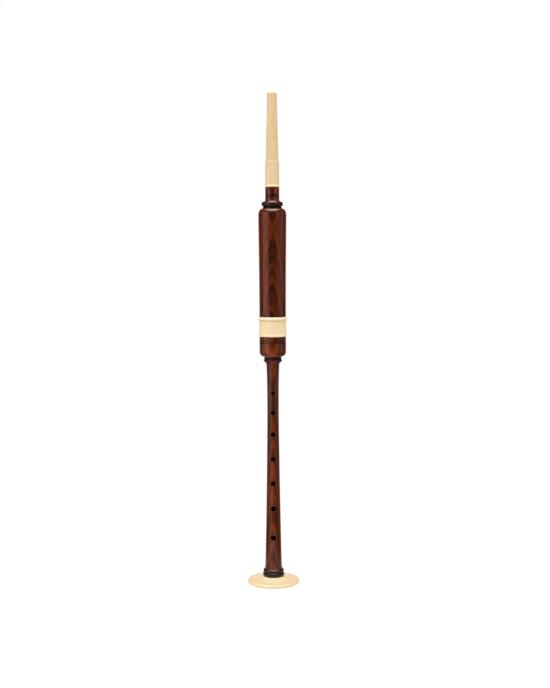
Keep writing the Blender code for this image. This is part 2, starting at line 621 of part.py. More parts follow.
def reed_band(material):
    """Rubber ring round both blades: an oval curve with a round section."""
    share = BAND_RISE / BLADE_LENGTH
    grow = BLADE_THICKNESS + SEAT_GAP + BAND_WIRE_RADIUS
    reach_x = blade_half_width(share) + grow
    reach_y = BLADE_EDGE_GAP / 2 + blade_crown(share) + grow
    points = 18
    curve = bpy.data.curves.new("reed_band", "CURVE")
    curve.dimensions = "3D"
    curve.bevel_depth = BAND_WIRE_RADIUS
    curve.bevel_resolution = 2
    curve.materials.append(material)
    spline = curve.splines.new("POLY")
    spline.points.add(points - 1)
    for index in range(points):
        angle = math.tau * index / points
        spline.points[index].co = (reach_x * math.cos(angle), reach_y * math.sin(angle), 0.0, 1.0)
    spline.use_cyclic_u = True
    return bpy.data.objects.new("reed_band", curve)


def make_lower_section(pieces, cutters):
    """Sole, drilled wooden section and the thread on its tenon."""
    put(turned("sole", sole_outline(), BARREL_SEGMENTS, finish("sole", IVORY, 0.30)), pieces,
        (0.0, 0.0, 0.0), None)
    body = turned("chanter_body", chanter_outline(), CHANTER_SEGMENTS, finish("chanter_body", WOOD, 0.28, 0.4))
    put(body, pieces, (0.0, 0.0, FOOT_SEAT), None)
    for number, (share, diameter) in enumerate(FRONT_HOLES, start=1):
        height = TUBE_BOTTOM + share * TUBE_LENGTH
        cut(body, drill(f"front_hole_{number}", diameter / 2, height, -1, cutters, body))
    share, diameter = THUMB_HOLE
    cut(body, drill("thumb_hole", diameter / 2, TUBE_BOTTOM + share * TUBE_LENGTH, 1, cutters, body))
    thread = winding_outline(TENON_GROOVE_RADIUS, TENON_WINDING, TENON_TOP - TENON_RING_HEIGHT,
                             JOINT_FACE + TENON_RING_HEIGHT)
    put(turned("tenon_hemp", thread, CHANTER_SEGMENTS, finish("tenon_hemp", HEMP, 0.85)), pieces,
        (0.0, 0.0, 0.0), body)


def make_upper_section(pieces, carrier):
    """Barrel with its ferrule and the sleeve round its neck, on the joint's empty."""
    top = turned("top_section", top_outline(), BARREL_SEGMENTS, finish("top_section", WOOD_DARK, 0.25, 0.5))
    put(top, pieces, (0.0, 0.0, 0.0), carrier)
    ring = turned("barrel_ferrule", ferrule_outline(), BARREL_SEGMENTS, finish("barrel_ferrule", IVORY, 0.30))
    put(ring, pieces, (0.0, 0.0, 0.0), carrier)
    sleeve_finish = finish("mouthpiece_ferrule", IVORY_WARM, 0.34)
    sleeve = turned("mouthpiece_ferrule", sleeve_outline(), MOUTHPIECE_SEGMENTS, sleeve_finish)
    put(sleeve, pieces, (0.0, 0.0, SLEEVE_BOTTOM), carrier)


def make_mouthpiece(pieces, carrier):
    """Mouthpiece and the thread on its tenon, on the joint's empty."""
    tube = turned("mouthpiece", mouthpiece_outline(), MOUTHPIECE_SEGMENTS, finish("mouthpiece", IVORY_WARM, 0.34))
    put(tube, pieces, (0.0, 0.0, 0.0), carrier)
    thread = winding_outline(MOUTH_GROOVE_RADIUS, MOUTHPIECE_WINDING, -MOUTHPIECE_RING_HEIGHT,
                             MOUTHPIECE_RING_HEIGHT - MOUTHPIECE_TENON_LENGTH)
    put(turned("mouthpiece_hemp", thread, MOUTHPIECE_SEGMENTS, finish("mouthpiece_hemp", HEMP, 0.85)), pieces,
        (0.0, 0.0, 0.0), carrier)


def make_reed(pieces, carrier):
    """Moulded body, two blades, band and thread, on the joint's empty at the seat's mouth."""
    put(reed_body(finish("reed_body", REED_PLASTIC, 0.45)), pieces, (0.0, 0.0, 0.0), carrier)
    for name, side in (("reed_blade_front", -1), ("reed_blade_back", 1)):
        put(reed_blade(name, side, finish(name, BLADE_PLASTIC, 0.4)), pieces, (0.0, 0.0, 0.0), carrier)
    put(reed_band(finish("reed_band", BAND_RUBBER, 0.6)), pieces, (0.0, 0.0, blade_foot() + BAND_RISE), carrier)
    put(turned("reed_thread", reed_thread_outline(), REED_SEGMENTS, finish("reed_thread", HEMP, 0.85)), pieces,
        (0.0, 0.0, 0.0), carrier)


def make_joint(name, collection, height, parent):
    """An empty on the axis that carries what slides off at this joint."""
    return put(bpy.data.objects.new(name, None), collection, (0.0, 0.0, height), parent)


def main():
    """Build the whole instrument."""
    clear_scene()
    pieces = make_collection("practice_chanter")
    cutters = make_collection("cutters")
    make_lower_section(pieces, cutters)
    top_pull = make_joint("top_pull", pieces, TOP_PULL_HEIGHT, None)
    make_upper_section(pieces, top_pull)
    make_mouthpiece(pieces, make_joint("mouthpiece_pull", pieces, MOUTHPIECE_SEAT, top_pull))
    make_reed(pieces, make_joint("reed_pull", pieces, REED_PULL_HEIGHT, None))


main()
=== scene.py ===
"""Looks of a turned practice chanter: wood, imitation ivory, wound thread and the reed inside.

The construction is a fixed frame of solids. Each turned piece is made again here as a fine surface
on the same sizes, so that its beads, cut lines and finger holes are round and its edges are eased.
Lengths are in metres, +Z runs up the common axis and the finger holes face -Y.
"""

from __future__ import annotations

import json
import logging
import math
from dataclasses import dataclass
from enum import Enum
from typing import Sequence, Union

import bpy
import numpy as np
from mathutils import Euler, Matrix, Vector

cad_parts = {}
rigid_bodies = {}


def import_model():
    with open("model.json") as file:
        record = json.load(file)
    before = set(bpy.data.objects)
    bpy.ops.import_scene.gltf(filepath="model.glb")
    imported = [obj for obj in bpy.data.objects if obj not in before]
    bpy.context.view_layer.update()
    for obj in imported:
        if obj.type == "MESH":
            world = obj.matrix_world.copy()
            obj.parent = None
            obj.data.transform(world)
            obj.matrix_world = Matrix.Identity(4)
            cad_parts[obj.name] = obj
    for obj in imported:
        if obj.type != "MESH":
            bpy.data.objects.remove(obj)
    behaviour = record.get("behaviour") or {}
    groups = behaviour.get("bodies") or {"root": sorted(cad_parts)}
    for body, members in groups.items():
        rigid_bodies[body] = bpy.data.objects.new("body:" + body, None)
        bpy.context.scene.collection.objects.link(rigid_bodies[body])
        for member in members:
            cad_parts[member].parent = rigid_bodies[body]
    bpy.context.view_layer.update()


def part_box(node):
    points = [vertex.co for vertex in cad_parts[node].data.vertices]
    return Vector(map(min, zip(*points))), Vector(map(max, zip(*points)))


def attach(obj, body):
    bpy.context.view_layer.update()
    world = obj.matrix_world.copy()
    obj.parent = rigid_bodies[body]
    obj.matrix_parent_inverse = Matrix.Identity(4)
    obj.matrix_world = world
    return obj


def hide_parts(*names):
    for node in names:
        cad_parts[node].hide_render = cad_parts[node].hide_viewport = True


IMAGE_WIDTH = 550
IMAGE_HEIGHT = 688
GAP = 0.0003
SMOOTH_LIMIT = math.radians(34)
MILLIMETRES = 1000.0
HOLE_SHADE = (0.0015, 0.0010, 0.0008)
log = logging.getLogger("practice_chanter")

Colour = tuple[float, float, float]
Number = Union[float, "Wire"]


class Body(str, Enum):
    """What moves as one."""

    CHANTER = "chanter"
    TOP = "top"
    MOUTHPIECE = "mouthpiece"
    REED = "reed"


class Slot(str, Enum):
    """Names of the finishes."""

    IVORY = "imitation_ivory"
    MOUTH_IVORY = "mouthpiece_ivory"
    LOWER_WOOD = "lower_wood"
    UPPER_WOOD = "upper_wood"
    HEMP = "hemp_thread"
    REED_PLASTIC = "reed_plastic"
    REED_BLADES = "reed_blades"
    RUBBER = "band_rubber"


class Wire:
    """A socket of a material's node tree, on which arithmetic adds Math nodes."""

    def __init__(self, graph: "Graph", socket: bpy.types.NodeSocket) -> None:
        """Keep the socket and the graph that it belongs to.

        Args:
            graph: the graph that new nodes go into.
            socket: the output socket that is wrapped.
        """
        self.graph = graph
        self.socket = socket

    def _math(self, operation: str, first: Number, second: Number = 0.0) -> "Wire":
        """One Math node.

        Args:
            operation: the node's operation.
            first: its first value or link.
            second: its second value or link.

        Returns:
            The node's result.
        """
        return self.graph.node("ShaderNodeMath", {"operation": operation}, {0: first, 1: second})

    def __add__(self, other: Number) -> "Wire":
        """Sum."""
        return self._math("ADD", self, other)

    __radd__ = __add__

    def __sub__(self, other: Number) -> "Wire":
        """Difference."""
        return self._math("SUBTRACT", self, other)

    def __rsub__(self, other: Number) -> "Wire":
        """Difference from a number."""
        return self._math("SUBTRACT", other, self)

    def __mul__(self, other: Number) -> "Wire":
        """Product."""
        return self._math("MULTIPLY", self, other)

    __rmul__ = __mul__

    def __truediv__(self, other: Number) -> "Wire":
        """Quotient."""
        return self._math("DIVIDE", self, other)

    def __pow__(self, other: Number) -> "Wire":
        """Power."""
        return self._math("POWER", self, other)

    def __abs__(self) -> "Wire":
        """Size without its sign."""
        return self._math("ABSOLUTE", self)

    def largest(self, other: Number) -> "Wire":
        """The larger of two values."""
        return self._math("MAXIMUM", self, other)

    def fade(self, low: float, high: float, at_low: float = 0.0, at_high: float = 1.0) -> "Wire":
        """A smooth step from one value to another.

        Args:
            low: where the step starts.
            high: where it ends.
            at_low: value up to the start.
            at_high: value past the end.

        Returns:
            The stepped value.
        """
        inputs = {0: self, 1: low, 2: high, 3: at_low, 4: at_high}
        return self.graph.node("ShaderNodeMapRange", {"interpolation_type": "SMOOTHSTEP"}, inputs)


class Graph:
    """The node tree of one material or world."""

    def __init__(self, owner: Union[bpy.types.Material, bpy.types.World]) -> None:
        """Start an empty tree.

        Args:
            owner: the material or world that the tree belongs to.
        """
        owner.use_nodes = True
        self.tree = owner.node_tree
        self.tree.nodes.clear()

    def add(self, kind: str, settings: dict | None = None, inputs: dict | None = None) -> bpy.types.Node:
        """Add one node.

        Args:
            kind: the node's type.
            settings: its properties, set first. The key "stops" fills a colour ramp.
            inputs: values or links by socket name or number.

        Returns:
            The node.
        """
        made = self.tree.nodes.new(kind)
        for key, value in (settings or {}).items():
            if key == "stops":
                self._fill_ramp(made.color_ramp, value)
            else:
                setattr(made, key, value)
        for key, value in (inputs or {}).items():
            socket = made.inputs[key]
            if isinstance(value, Wire):
                self.tree.links.new(value.socket, socket)
            else:
                socket.default_value = value
        return made

    def node(self, kind: str, settings: dict | None = None, inputs: dict | None = None,
             output: Union[int, str] = 0) -> Wire:
        """Add one node and take one of its outputs.

        Args:
            kind: the node's type.
            settings: its properties.
            inputs: values or links by socket name or number.
            output: name or number of the output.

        Returns:
            That output.
        """
        return Wire(self, self.add(kind, settings, inputs).outputs[output])

    @staticmethod
    def _fill_ramp(ramp: bpy.types.ColorRamp, stops: Sequence[tuple[float, Colour]]) -> None:
        """Set a ramp's stops.

        Args:
            ramp: the colour ramp.
            stops: places and linear colours, in rising order.
        """
        while len(ramp.elements) < len(stops):
            ramp.elements.new(1.0)
        for element, (place, colour) in zip(ramp.elements, stops):
            element.position = place
            element.color = (*colour, 1.0)

    def place(self) -> Wire:
        """Object coordinates in millimetres."""
        spot = self.node("ShaderNodeTexCoord", output="Object")
        return self.node("ShaderNodeVectorMath", {"operation": "SCALE"}, {0: spot, "Scale": MILLIMETRES})

    def parts(self, vector: Wire) -> tuple[Wire, Wire, Wire]:
        """The three numbers of a vector.

        Args:
            vector: the vector to split.

        Returns:
            Its x, y and z.
        """
        made = self.add("ShaderNodeSeparateXYZ", None, {0: vector})
        return tuple(Wire(self, made.outputs[index]) for index in range(3))

    def stretched(self, vector: Wire, scale: Colour, shift: Colour = (0.0, 0.0, 0.0)) -> Wire:
        """A vector scaled and moved along each axis.

        Args:
            vector: the vector.
            scale: its three factors.
            shift: what is added afterwards.

        Returns:
            The new vector.
        """
        settings = {"operation": "MULTIPLY_ADD"}
        return self.node("ShaderNodeVectorMath", settings, {0: vector, 1: scale, 2: shift})

    def noise(self, vector: Wire, scale: float, detail: float = 3.0, roughness: float = 0.55,
              warp: float = 0.0) -> Wire:
        """A noise value of about 0 to 1.

        Args:
            vector: where it is read.
            scale: how fine it is.
            detail: octaves.
            roughness: weight of the finer octaves.
            warp: how much it is distorted.

        Returns:
            The noise.
        """
        inputs = {"Vector": vector, "Scale": scale, "Detail": detail, "Roughness": roughness,
                  "Distortion": warp}
        return self.node("ShaderNodeTexNoise", None, inputs)

    def mix(self, share: Number, first: Union[Wire, Colour], second: Union[Wire, Colour],
            blend: str = "MIX") -> Wire:
        """Two colours mixed.

        Args:
            share: how much of the second.
            first: a link or a linear colour.
            second: a link or a linear colour.
            blend: the blend type.

        Returns:
            The mixed colour.
        """
        colours = [value if isinstance(value, Wire) else (*value, 1.0) for value in (first, second)]
        settings = {"data_type": "RGBA", "blend_type": blend, "clamp_factor": True}
        return self.node("ShaderNodeMix", settings, {0: share, 6: colours[0], 7: colours[1]}, 2)

    def bump(self, height: Wire, distance: float, strength: float = 1.0) -> Wire:
        """A bumped normal.

        Args:
            height: the height, 0 to 1.
            distance: what a height of 1 stands for, in metres.
            strength: how much of it is used.

        Returns:
            The normal.
        """
        inputs = {"Strength": strength, "Distance": distance, "Height": height}
        return self.node("ShaderNodeBump", None, inputs)

    def close(self, inputs: dict) -> None:
        """End the tree in a Principled shader.

        Args:
            inputs: values or links of its sockets.
        """
        shader = self.node("ShaderNodeBsdfPrincipled", None, inputs)
        self.add("ShaderNodeOutputMaterial", None, {"Surface": shader})


@dataclass(frozen=True)
class TurnedLine:
    """A dark line all round a turned piece of wood. On the combs it is a line burnt by friction; in grooves,
    corners and by the sole it is painted shade. Lengths are in metres.
    """

    height: float
    half_width: float
    depth: float = 0.85


@dataclass(frozen=True)
class Band:
    """A band all round a turned piece of ivory that tends to another colour. Some bands are the ivory's own
    tints; others are painted highlights and painted shade, noted where they are listed. Heights are in
    metres.
    """

    low: float
    high: float
    share: float
    colour: Colour


@dataclass(frozen=True)
class DarkHole:
    """A drilled hole, whose wall is painted dark up to its rim as shade. Lengths are in metres."""

    height: float
    radius: float
    side: float


@dataclass(frozen=True)
class Growth:
    """Growth bands of a piece of wood, read along the front line of the turned surface.

    The rings are cylinders round a pith behind the piece. They drift along the axis and turn over
    at one height, so that the turning cuts them into arches that point up below it and down above.
    Lengths are in millimetres.
    """

    pith: tuple[float, float]
    front: float
    slope: float
    turn: float
    turn_width: float
    start: float
    repeat: float
    bands: tuple[tuple[float, float], ...]

    def tone(self, graph: Graph, x: Wire, y: Wire, z: Wire, wander: Wire) -> Wire:
        """How light the wood is by its bands alone.

        Args:
            graph: the graph of the material.
            x: first coordinate.
            y: second coordinate.
            z: height.
            wander: what unsettles the rings, in millimetres along the front line.

        Returns:
            A value of 0 for dark to 1 for light.
        """
        distance = ((x - self.pith[0]) ** 2.0 + (y - self.pith[1]) ** 2.0) ** 0.5
        along = ((z - self.turn) ** 2.0 + self.turn_width ** 2.0) ** 0.5
        centre = math.hypot(self.pith[0], self.front + self.pith[1])
        place = (distance - centre) / self.slope + along - self.turn_width + wander - self.start
        wrapped = graph.node("ShaderNodeMath", {"operation": "WRAP"}, {0: place, 1: self.repeat, 2: 0.0})
        stops = tuple((spot / self.repeat, (light,) * 3) for spot, light in self.bands)
        ramp = graph.node("ShaderNodeValToRGB", {"stops": stops}, {0: wrapped / self.repeat})
        return graph.node("ShaderNodeSeparateColor", None, {0: ramp})


@dataclass(frozen=True)
class Patch:
    """A stretch of lighter or darker wood: some follow the wood's figure, others are painted sheen, highlight
    or shade, noted where they are listed.

    Facings are in degrees round the axis, 0 at the front and positive to the right as seen from
    there, and heights in metres. The gain is added to the tone.
    """

    facing: float
    half_turn: float
    low: float
    high: float
    gain: float


@dataclass(frozen=True)
class Wood:
    """Oiled and polished reddish hardwood with arched growth bands and streaks along its axis."""

    name: str
    deep: Colour
    body: Colour
    warm: Colour
    growth: Growth
    seed: float
    roughness: float
    wander: float = 22.0
    burns_and_shade_roughness: float = 0.35
    handled: tuple[float, float] = (-1.0, -0.9)
    handling: float = 0.0
    patches: tuple[Patch, ...] = ()
    lines: tuple[TurnedLine, ...] = ()
    holes: tuple[DarkHole, ...] = ()
    dark_radius: float = 5.4

    def shift(self, graph: Graph, turn: Wire, z: Wire) -> Wire:
        """What the patches add to the tone.

        Args:
            graph: the graph of the material.
            turn: facing in degrees.
            z: height in millimetres.

        Returns:
            The sum of the gains.
        """
        total: Number = 0.0
        for patch in self.patches:
            middle = (patch.low + patch.high) / 2 * MILLIMETRES
            half = (patch.high - patch.low) / 2 * MILLIMETRES
            soft = min(2.0, half * 0.35)
            beside = abs(turn - patch.facing).fade(patch.half_turn * 0.3, patch.half_turn, patch.gain, 0.0)
            total = beside * abs(z - middle).fade(half - soft, half + soft, 1.0, 0.0) + total
        return total

    def burns_and_shade(self, z: Wire) -> Wire:
        """Where the wood is darkened: friction burns on the combs, and painted shade in grooves and corners.

        Args:
            z: height in millimetres.

        Returns:
            A share of 0 to 1.
        """
        share = None
        for line in self.lines:
            width = line.half_width * MILLIMETRES
            shade = abs(z - line.height * MILLIMETRES).fade(width * 0.6, width * 1.25, line.depth, 0.0)
            share = shade if share is None else share.largest(shade)
        return share

    def hollow(self, x: Wire, y: Wire, z: Wire) -> Wire:
        """Where the surface is a hole's wall or the bore, which are painted dark as shade.

        Args:
            x: first coordinate in millimetres.
            y: second coordinate.
            z: height.

        Returns:
            A share of 0 to 1.
        """
        share = ((x ** 2.0 + y ** 2.0) ** 0.5).fade(self.dark_radius - 0.5, self.dark_radius, 1.0, 0.0)
        for hole in self.holes:
            away = (x ** 2.0 + (z - hole.height * MILLIMETRES) ** 2.0) ** 0.5
            radius = hole.radius * MILLIMETRES
            inside = away.fade(radius + 0.02, radius + 0.14, 1.0, 0.0)
            share = share.largest(inside * (y * hole.side).fade(0.0, 1.0))
        return share

    def material(self) -> bpy.types.Material:
        """The finish as a node material.

        Returns:
            The material.
        """
        made = bpy.data.materials.new(self.name)
        graph = Graph(made)
        place = graph.place()
        x, y, z = graph.parts(place)
        slow = graph.noise(graph.stretched(place, (0.10, 0.10, 0.030), (self.seed, 0.0, 0.0)), 1.0, 2.0)
        ragged = graph.noise(graph.stretched(place, (0.9, 0.9, 0.05), (0.0, self.seed, 3.0)), 1.0, 3.0, 0.6)
        band = self.growth.tone(graph, x, y, z, (slow - 0.5) * 16.0 + (ragged - 0.5) * self.wander)
        along = graph.stretched(place, (0.85, 0.85, 0.022), (0.0, self.seed, 0.0))
        long_streak = graph.noise(along, 1.0, 4.0, 0.6)
        across = graph.stretched(place, (4.2, 4.2, 0.10), (self.seed, 0.0, 0.0))
        fine_streak = graph.noise(across, 1.0, 3.0, 0.6)
        pore = graph.noise(graph.stretched(place, (11.0, 11.0, 0.42)), 1.0, 2.0, 0.5)
        turn = graph.node("ShaderNodeMath", {"operation": "ARCTAN2"}, {0: x, 1: y * -1.0})
        turn = turn * math.degrees(1.0) + (long_streak - 0.5) * 24.0
        lighter = self.shift(graph, turn, z + (ragged - 0.5) * 4.0)
        tone = band * 0.90 + (long_streak - 0.5) * 0.46 + (fine_streak - 0.5) * 0.30 + 0.05 + lighter
        stops = ((0.08, self.deep), (0.50, self.body), (0.92, self.warm))
        colour = graph.node("ShaderNodeValToRGB", {"stops": stops}, {0: tone})
        pores = pore.fade(0.60, 0.72)
        colour = graph.mix(pores * 0.45, colour, self.deep)
        # Dark lines: friction burns on the combs, and painted shade in grooves and corners, mixed to near
        # black.
        burns_and_shade = self.burns_and_shade(z)
        colour = graph.mix(burns_and_shade, colour, tuple(part * 0.12 for part in self.deep))
        hollow = self.hollow(x, y, z)
        # Painted shade: the holes' walls and the bore mixed to near black.
        colour = graph.mix(hollow, colour, HOLE_SHADE)
        burns_and_hole_shade = burns_and_shade.largest(hollow)
        middle = (self.handled[0] + self.handled[1]) / 2 * MILLIMETRES
        half = (self.handled[1] - self.handled[0]) / 2 * MILLIMETRES
        handled = abs(z - middle).fade(half - 8.0, half, self.handling, 0.0)
        rough = fine_streak * 0.06 + handled + (self.roughness - 0.03) + pores * 0.12
        rough = rough.largest(burns_and_shade * self.burns_and_shade_roughness).largest(hollow * 0.85)
        height = 1.0 - pores * 0.7 + fine_streak * 0.3
        graph.close({"Base Color": colour, "Roughness": rough, "Coat Weight": (1.0 - burns_and_hole_shade) * 0.35,
                     "Coat Roughness": 0.05, "Normal": graph.bump(height, 0.00002, 0.4), "IOR": 1.48})
        return made


@dataclass(frozen=True)
class Ivory:
    """Cream imitation ivory, polished, with faint streaks and mottling of a cast resin."""

    name: str
    light: Colour
    warm: Colour
    streak_scale: Colour
    streaks: float
    turning: float
    mottle: float
    roughness: float
    bands: tuple[Band, ...] = ()

    def material(self) -> bpy.types.Material:
        """The finish as a node material.

        Returns:
            The material.
        """
        made = bpy.data.materials.new(self.name)
        graph = Graph(made)
        place = graph.place()
        z = graph.parts(place)[2]
        streak = graph.noise(graph.stretched(place, self.streak_scale), 1.0, 4.0, 0.6, 0.3)
        cloud = graph.noise(graph.stretched(place, (0.16, 0.16, 0.12)), 1.0, 3.0)
        turned = graph.noise(graph.stretched(place, (0.03, 0.03, 2.6)), 1.0, 3.0, 0.7)
        share = streak.fade(0.35, 0.70) * self.streaks + cloud.fade(0.35, 0.75) * self.mottle
        colour = graph.mix(share, self.light, self.warm)
        specks = graph.noise(graph.stretched(place, (1.9, 1.9, 1.3)), 1.0, 2.0).fade(0.66, 0.80)
        colour = graph.mix(specks * (self.mottle * 0.3), colour, tuple(part * 0.8 for part in self.warm))
        # The bands: the ivory's own tints, and painted highlights and shade.
        for band in self.bands:
            middle = (band.low + band.high) / 2 * MILLIMETRES
            half = (band.high - band.low) / 2 * MILLIMETRES
            soft = min(0.5 * half, 0.4)
            shade = abs(z - middle).fade(half - soft, half + soft, band.share, 0.0)
            colour = graph.mix(shade, colour, band.colour)
        height = turned * self.turning + streak * 0.2
        rough = turned * 0.10 + (self.roughness - 0.05)
        graph.close({"Base Color": colour, "Roughness": rough, "Coat Weight": 0.12, "Coat Roughness": 0.30,
                     "Normal": graph.bump(height, 0.00004, 0.4), "IOR": 1.50})
        return made


@dataclass(frozen=True)
class Hemp:
    """Waxed hemp thread."""

    name: str
    light: Colour
    dark: Colour

    def material(self) -> bpy.types.Material:
        """The finish as a node material, with fibres that run round the winding.

        Returns:
            The material.
        """
        made = bpy.data.materials.new(self.name)
        graph = Graph(made)
        place = graph.place()
        fibre = graph.noise(graph.stretched(place, (1.1, 1.1, 7.0)), 1.0, 4.0, 0.65)
        cloud = graph.noise(graph.stretched(place, (0.4, 0.4, 0.8)), 1.0, 3.0)
        colour = graph.mix(fibre.fade(0.3, 0.75), self.dark, self.light)
        colour = graph.mix(cloud.fade(0.5, 0.8) * 0.35, colour, self.dark)
        graph.close({"Base Color": colour, "Roughness": fibre * 0.2 + 0.62,
                     "Normal": graph.bump(fibre, 0.00008, 0.7)})
        return made


@dataclass(frozen=True)
class Moulded:
    """Moulded plastic or rubber, with a faint unevenness of its surface and colour."""

    name: str
    colour: Colour
    shade: Colour
    roughness: float
    fibre: float = 0.0

    def material(self) -> bpy.types.Material:
        """The finish as a node material.

        Returns:
            The material.
        """
        made = bpy.data.materials.new(self.name)
        graph = Graph(made)
        place = graph.place()
        cloud = graph.noise(graph.stretched(place, (0.5, 0.5, 0.3)), 1.0, 3.0)
        grain = graph.noise(graph.stretched(place, (6.0, 6.0, 0.6)), 1.0, 3.0)
        fine = graph.noise(place, 9.0, 2.0)
        share = cloud.fade(0.35, 0.75) * 0.5 + grain.fade(0.4, 0.7) * self.fibre
        colour = graph.mix(share, self.colour, self.shade)
        graph.close({"Base Color": colour, "Roughness": fine * 0.12 + (self.roughness - 0.06),
                     "Normal": graph.bump(fine, 0.00002, 0.4)})
        return made


def arc(centre: Sequence[float], reach: Sequence[float], start: float, end: float, steps: int) -> np.ndarray:
    """Points on an ellipse: centre + reach times (cosine, sine) of evenly spaced angles.

    Args:
        centre: (r, z) of its centre.
        reach: its half axes along r and z.
        start: first angle in degrees, 0 outwards and 90 upwards.
        end: last angle in degrees.
        steps: how many steps lie between them.

    Returns:
        An array of (r, z) rows.
    """
    turn = np.radians(np.linspace(start, end, steps + 1))
    return np.column_stack([centre[0] + reach[0] * np.cos(turn), centre[1] + reach[1] * np.sin(turn)])


def bead(radius: float, top: float, reach: float, height: float, steps: int = 20) -> np.ndarray:
    """A half-round bead on a wall, from its top down.

    Args:
        radius: of the wall that it stands on.
        top: height of its upper end.
        reach: how far it stands out.
        height: from its lower to its upper end.
        steps: how many steps it has.

    Returns:
        An array of (r, z) rows.
    """
    return arc((radius, top - height / 2), (reach, height / 2), 90, -90, steps)


def rows(*stretches: Union[np.ndarray, Sequence[Sequence[float]]]) -> np.ndarray:
    """Stretches of an outline joined into one array of (r, z) rows.

    Args:
        stretches: arrays or lists of (r, z) pairs, in order.

    Returns:
        The joined rows.
    """
    return np.vstack([np.asarray(stretch, float).reshape(-1, 2) for stretch in stretches])


def distinct(outline: np.ndarray) -> np.ndarray:
    """A closed outline without points that repeat the one before them.

    Args:
        outline: rows of (r, z).

    Returns:
        The rows that stay.
    """
    step = np.linalg.norm(outline - np.roll(outline, 1, axis=0), axis=1)
    return outline[step > 1e-7]


def eased(outline: np.ndarray, radius: float, steps: int = 4, closed: bool = True) -> np.ndarray:
    """An outline whose sharp corners are rounded.

    Each corner P between points A and B on its two sides becomes the curve
    (1 - t)^2 A + 2 t (1 - t) P + t^2 B. A and B lie at the radius from P, or at a share of the
    side where that is shorter, and at P itself where the outline is smooth.

    Args:
        outline: rows of (r, z).
        radius: how far from the corner the rounding starts.
        steps: steps in each rounding.
        closed: whether the last row joins the first. If not, both stay as they are.

    Returns:
        The rounded rows.
    """
    outline = distinct(outline)
    back = np.roll(outline, 1, axis=0) - outline
    ahead = np.roll(outline, -1, axis=0) - outline
    back_length = np.linalg.norm(back, axis=1, keepdims=True)
    ahead_length = np.linalg.norm(ahead, axis=1, keepdims=True)
    straight = np.sum(back * ahead, axis=1, keepdims=True) / (back_length * ahead_length)
    cut = np.minimum(radius, 0.42 * np.minimum(back_length, ahead_length))
    cut = np.where(straight > -math.cos(math.radians(28)), cut, 0.0)
    if not closed:
        cut[[0, -1]] = 0.0
    first = (outline + back / back_length * cut)[:, None, :]
    last = (outline + ahead / ahead_length * cut)[:, None, :]
    t = np.linspace(0.0, 1.0, steps + 1)[None, :, None]
    curve = (1 - t) ** 2 * first + 2 * t * (1 - t) * outline[:, None, :] + t ** 2 * last
    return distinct(curve.reshape(-1, 2))


def ring_points(outline: np.ndarray, columns: int) -> np.ndarray:
    """Points of a turned surface: (r cos a, r sin a, z) for each outline row and column angle a.

    Args:
        outline: rows of (r, z).
        columns: how many angles.

    Returns:
        An array of shape (rows, columns, 3).
    """
    turn = np.linspace(0.0, math.tau, columns, endpoint=False)
    radius = outline[:, :1]
    height = np.broadcast_to(outline[:, 1:], (len(outline), columns))
    return np.stack([radius * np.cos(turn), radius * np.sin(turn), height], axis=2)


def ring_faces(count: int, columns: int) -> np.ndarray:
    """Quads of a grid that is closed both ways, with cell (row, column) at [row, column].

    Args:
        count: rows.
        columns: columns.

    Returns:
        An array of shape (rows, columns, 4).
    """
    row = np.arange(count)[:, None]
    column = np.arange(columns)[None, :]
    row_after = (row + 1) % count
    column_after = (column + 1) % columns
    corners = [row * columns + column, row_after * columns + column,
               row_after * columns + column_after, row * columns + column_after]
    return np.stack([np.broadcast_to(corner, (count, columns)) for corner in corners], axis=2)


def make_mesh(name: str, points: np.ndarray, quads: np.ndarray) -> bpy.types.Mesh:
    """A smooth-shaded mesh of quads, without points that no face uses.

    Args:
        name: of the mesh.
        points: rows of (x, y, z).
        quads: rows of four point numbers.

    Returns:
        The mesh.
    """
    points = points.reshape(-1, 3)
    quads = quads.reshape(-1, 4)
    used, numbers = np.unique(quads, return_inverse=True)
    points = points[used]
    corners = numbers.reshape(-1).astype(np.int32)
    mesh = bpy.data.meshes.new(name)
    mesh.vertices.add(len(points))
    mesh.vertices.foreach_set("co", points.astype(np.float32).ravel())
    mesh.loops.add(len(corners))
    mesh.loops.foreach_set("vertex_index", corners)
    mesh.polygons.add(len(quads))
    mesh.polygons.foreach_set("loop_start", np.arange(0, len(corners), 4, dtype=np.int32))
    mesh.update(calc_edges=True)
    mesh.validate()
    mesh.shade_smooth()
    mesh.set_sharp_from_angle(angle=SMOOTH_LIMIT)
    return mesh


def put(name: str, mesh: bpy.types.Mesh, finish: bpy.types.Material, slot: Slot, body: Body,
        *nodes: str) -> bpy.types.Object:
    """Dress a mesh and hang it on the body that carries it.

    Args:
        name: of the piece.
        mesh: its shape, in place.
        finish: its material.
        slot: the finish's slot; not used.
        body: what it moves with.
        nodes: the solids that it stands for.

    Returns:
        The piece.
    """
    mesh.materials.append(finish)
    piece = bpy.data.objects.new(name, mesh)
    bpy.context.scene.collection.objects.link(piece)
    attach(piece, body.value)
    if nodes:
        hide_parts(*nodes)
    log.info("%s: %d faces on %s", name, len(mesh.polygons), body.value)
    return piece


def turned(name: str, outline: np.ndarray, columns: int, edge: float = 0.00012) -> bpy.types.Mesh:
    """A turned piece from a closed outline.

    Args:
        name: of the mesh.
        outline: rows of (r, z): out over the top, down the outer side, in and up the bore.
        columns: how many facets it has round the axis.
        edge: rounding of its corners.

    Returns:
        The mesh.
    """
    outline = eased(outline, edge)
    return make_mesh(name, ring_points(outline, columns), ring_faces(len(outline), columns))


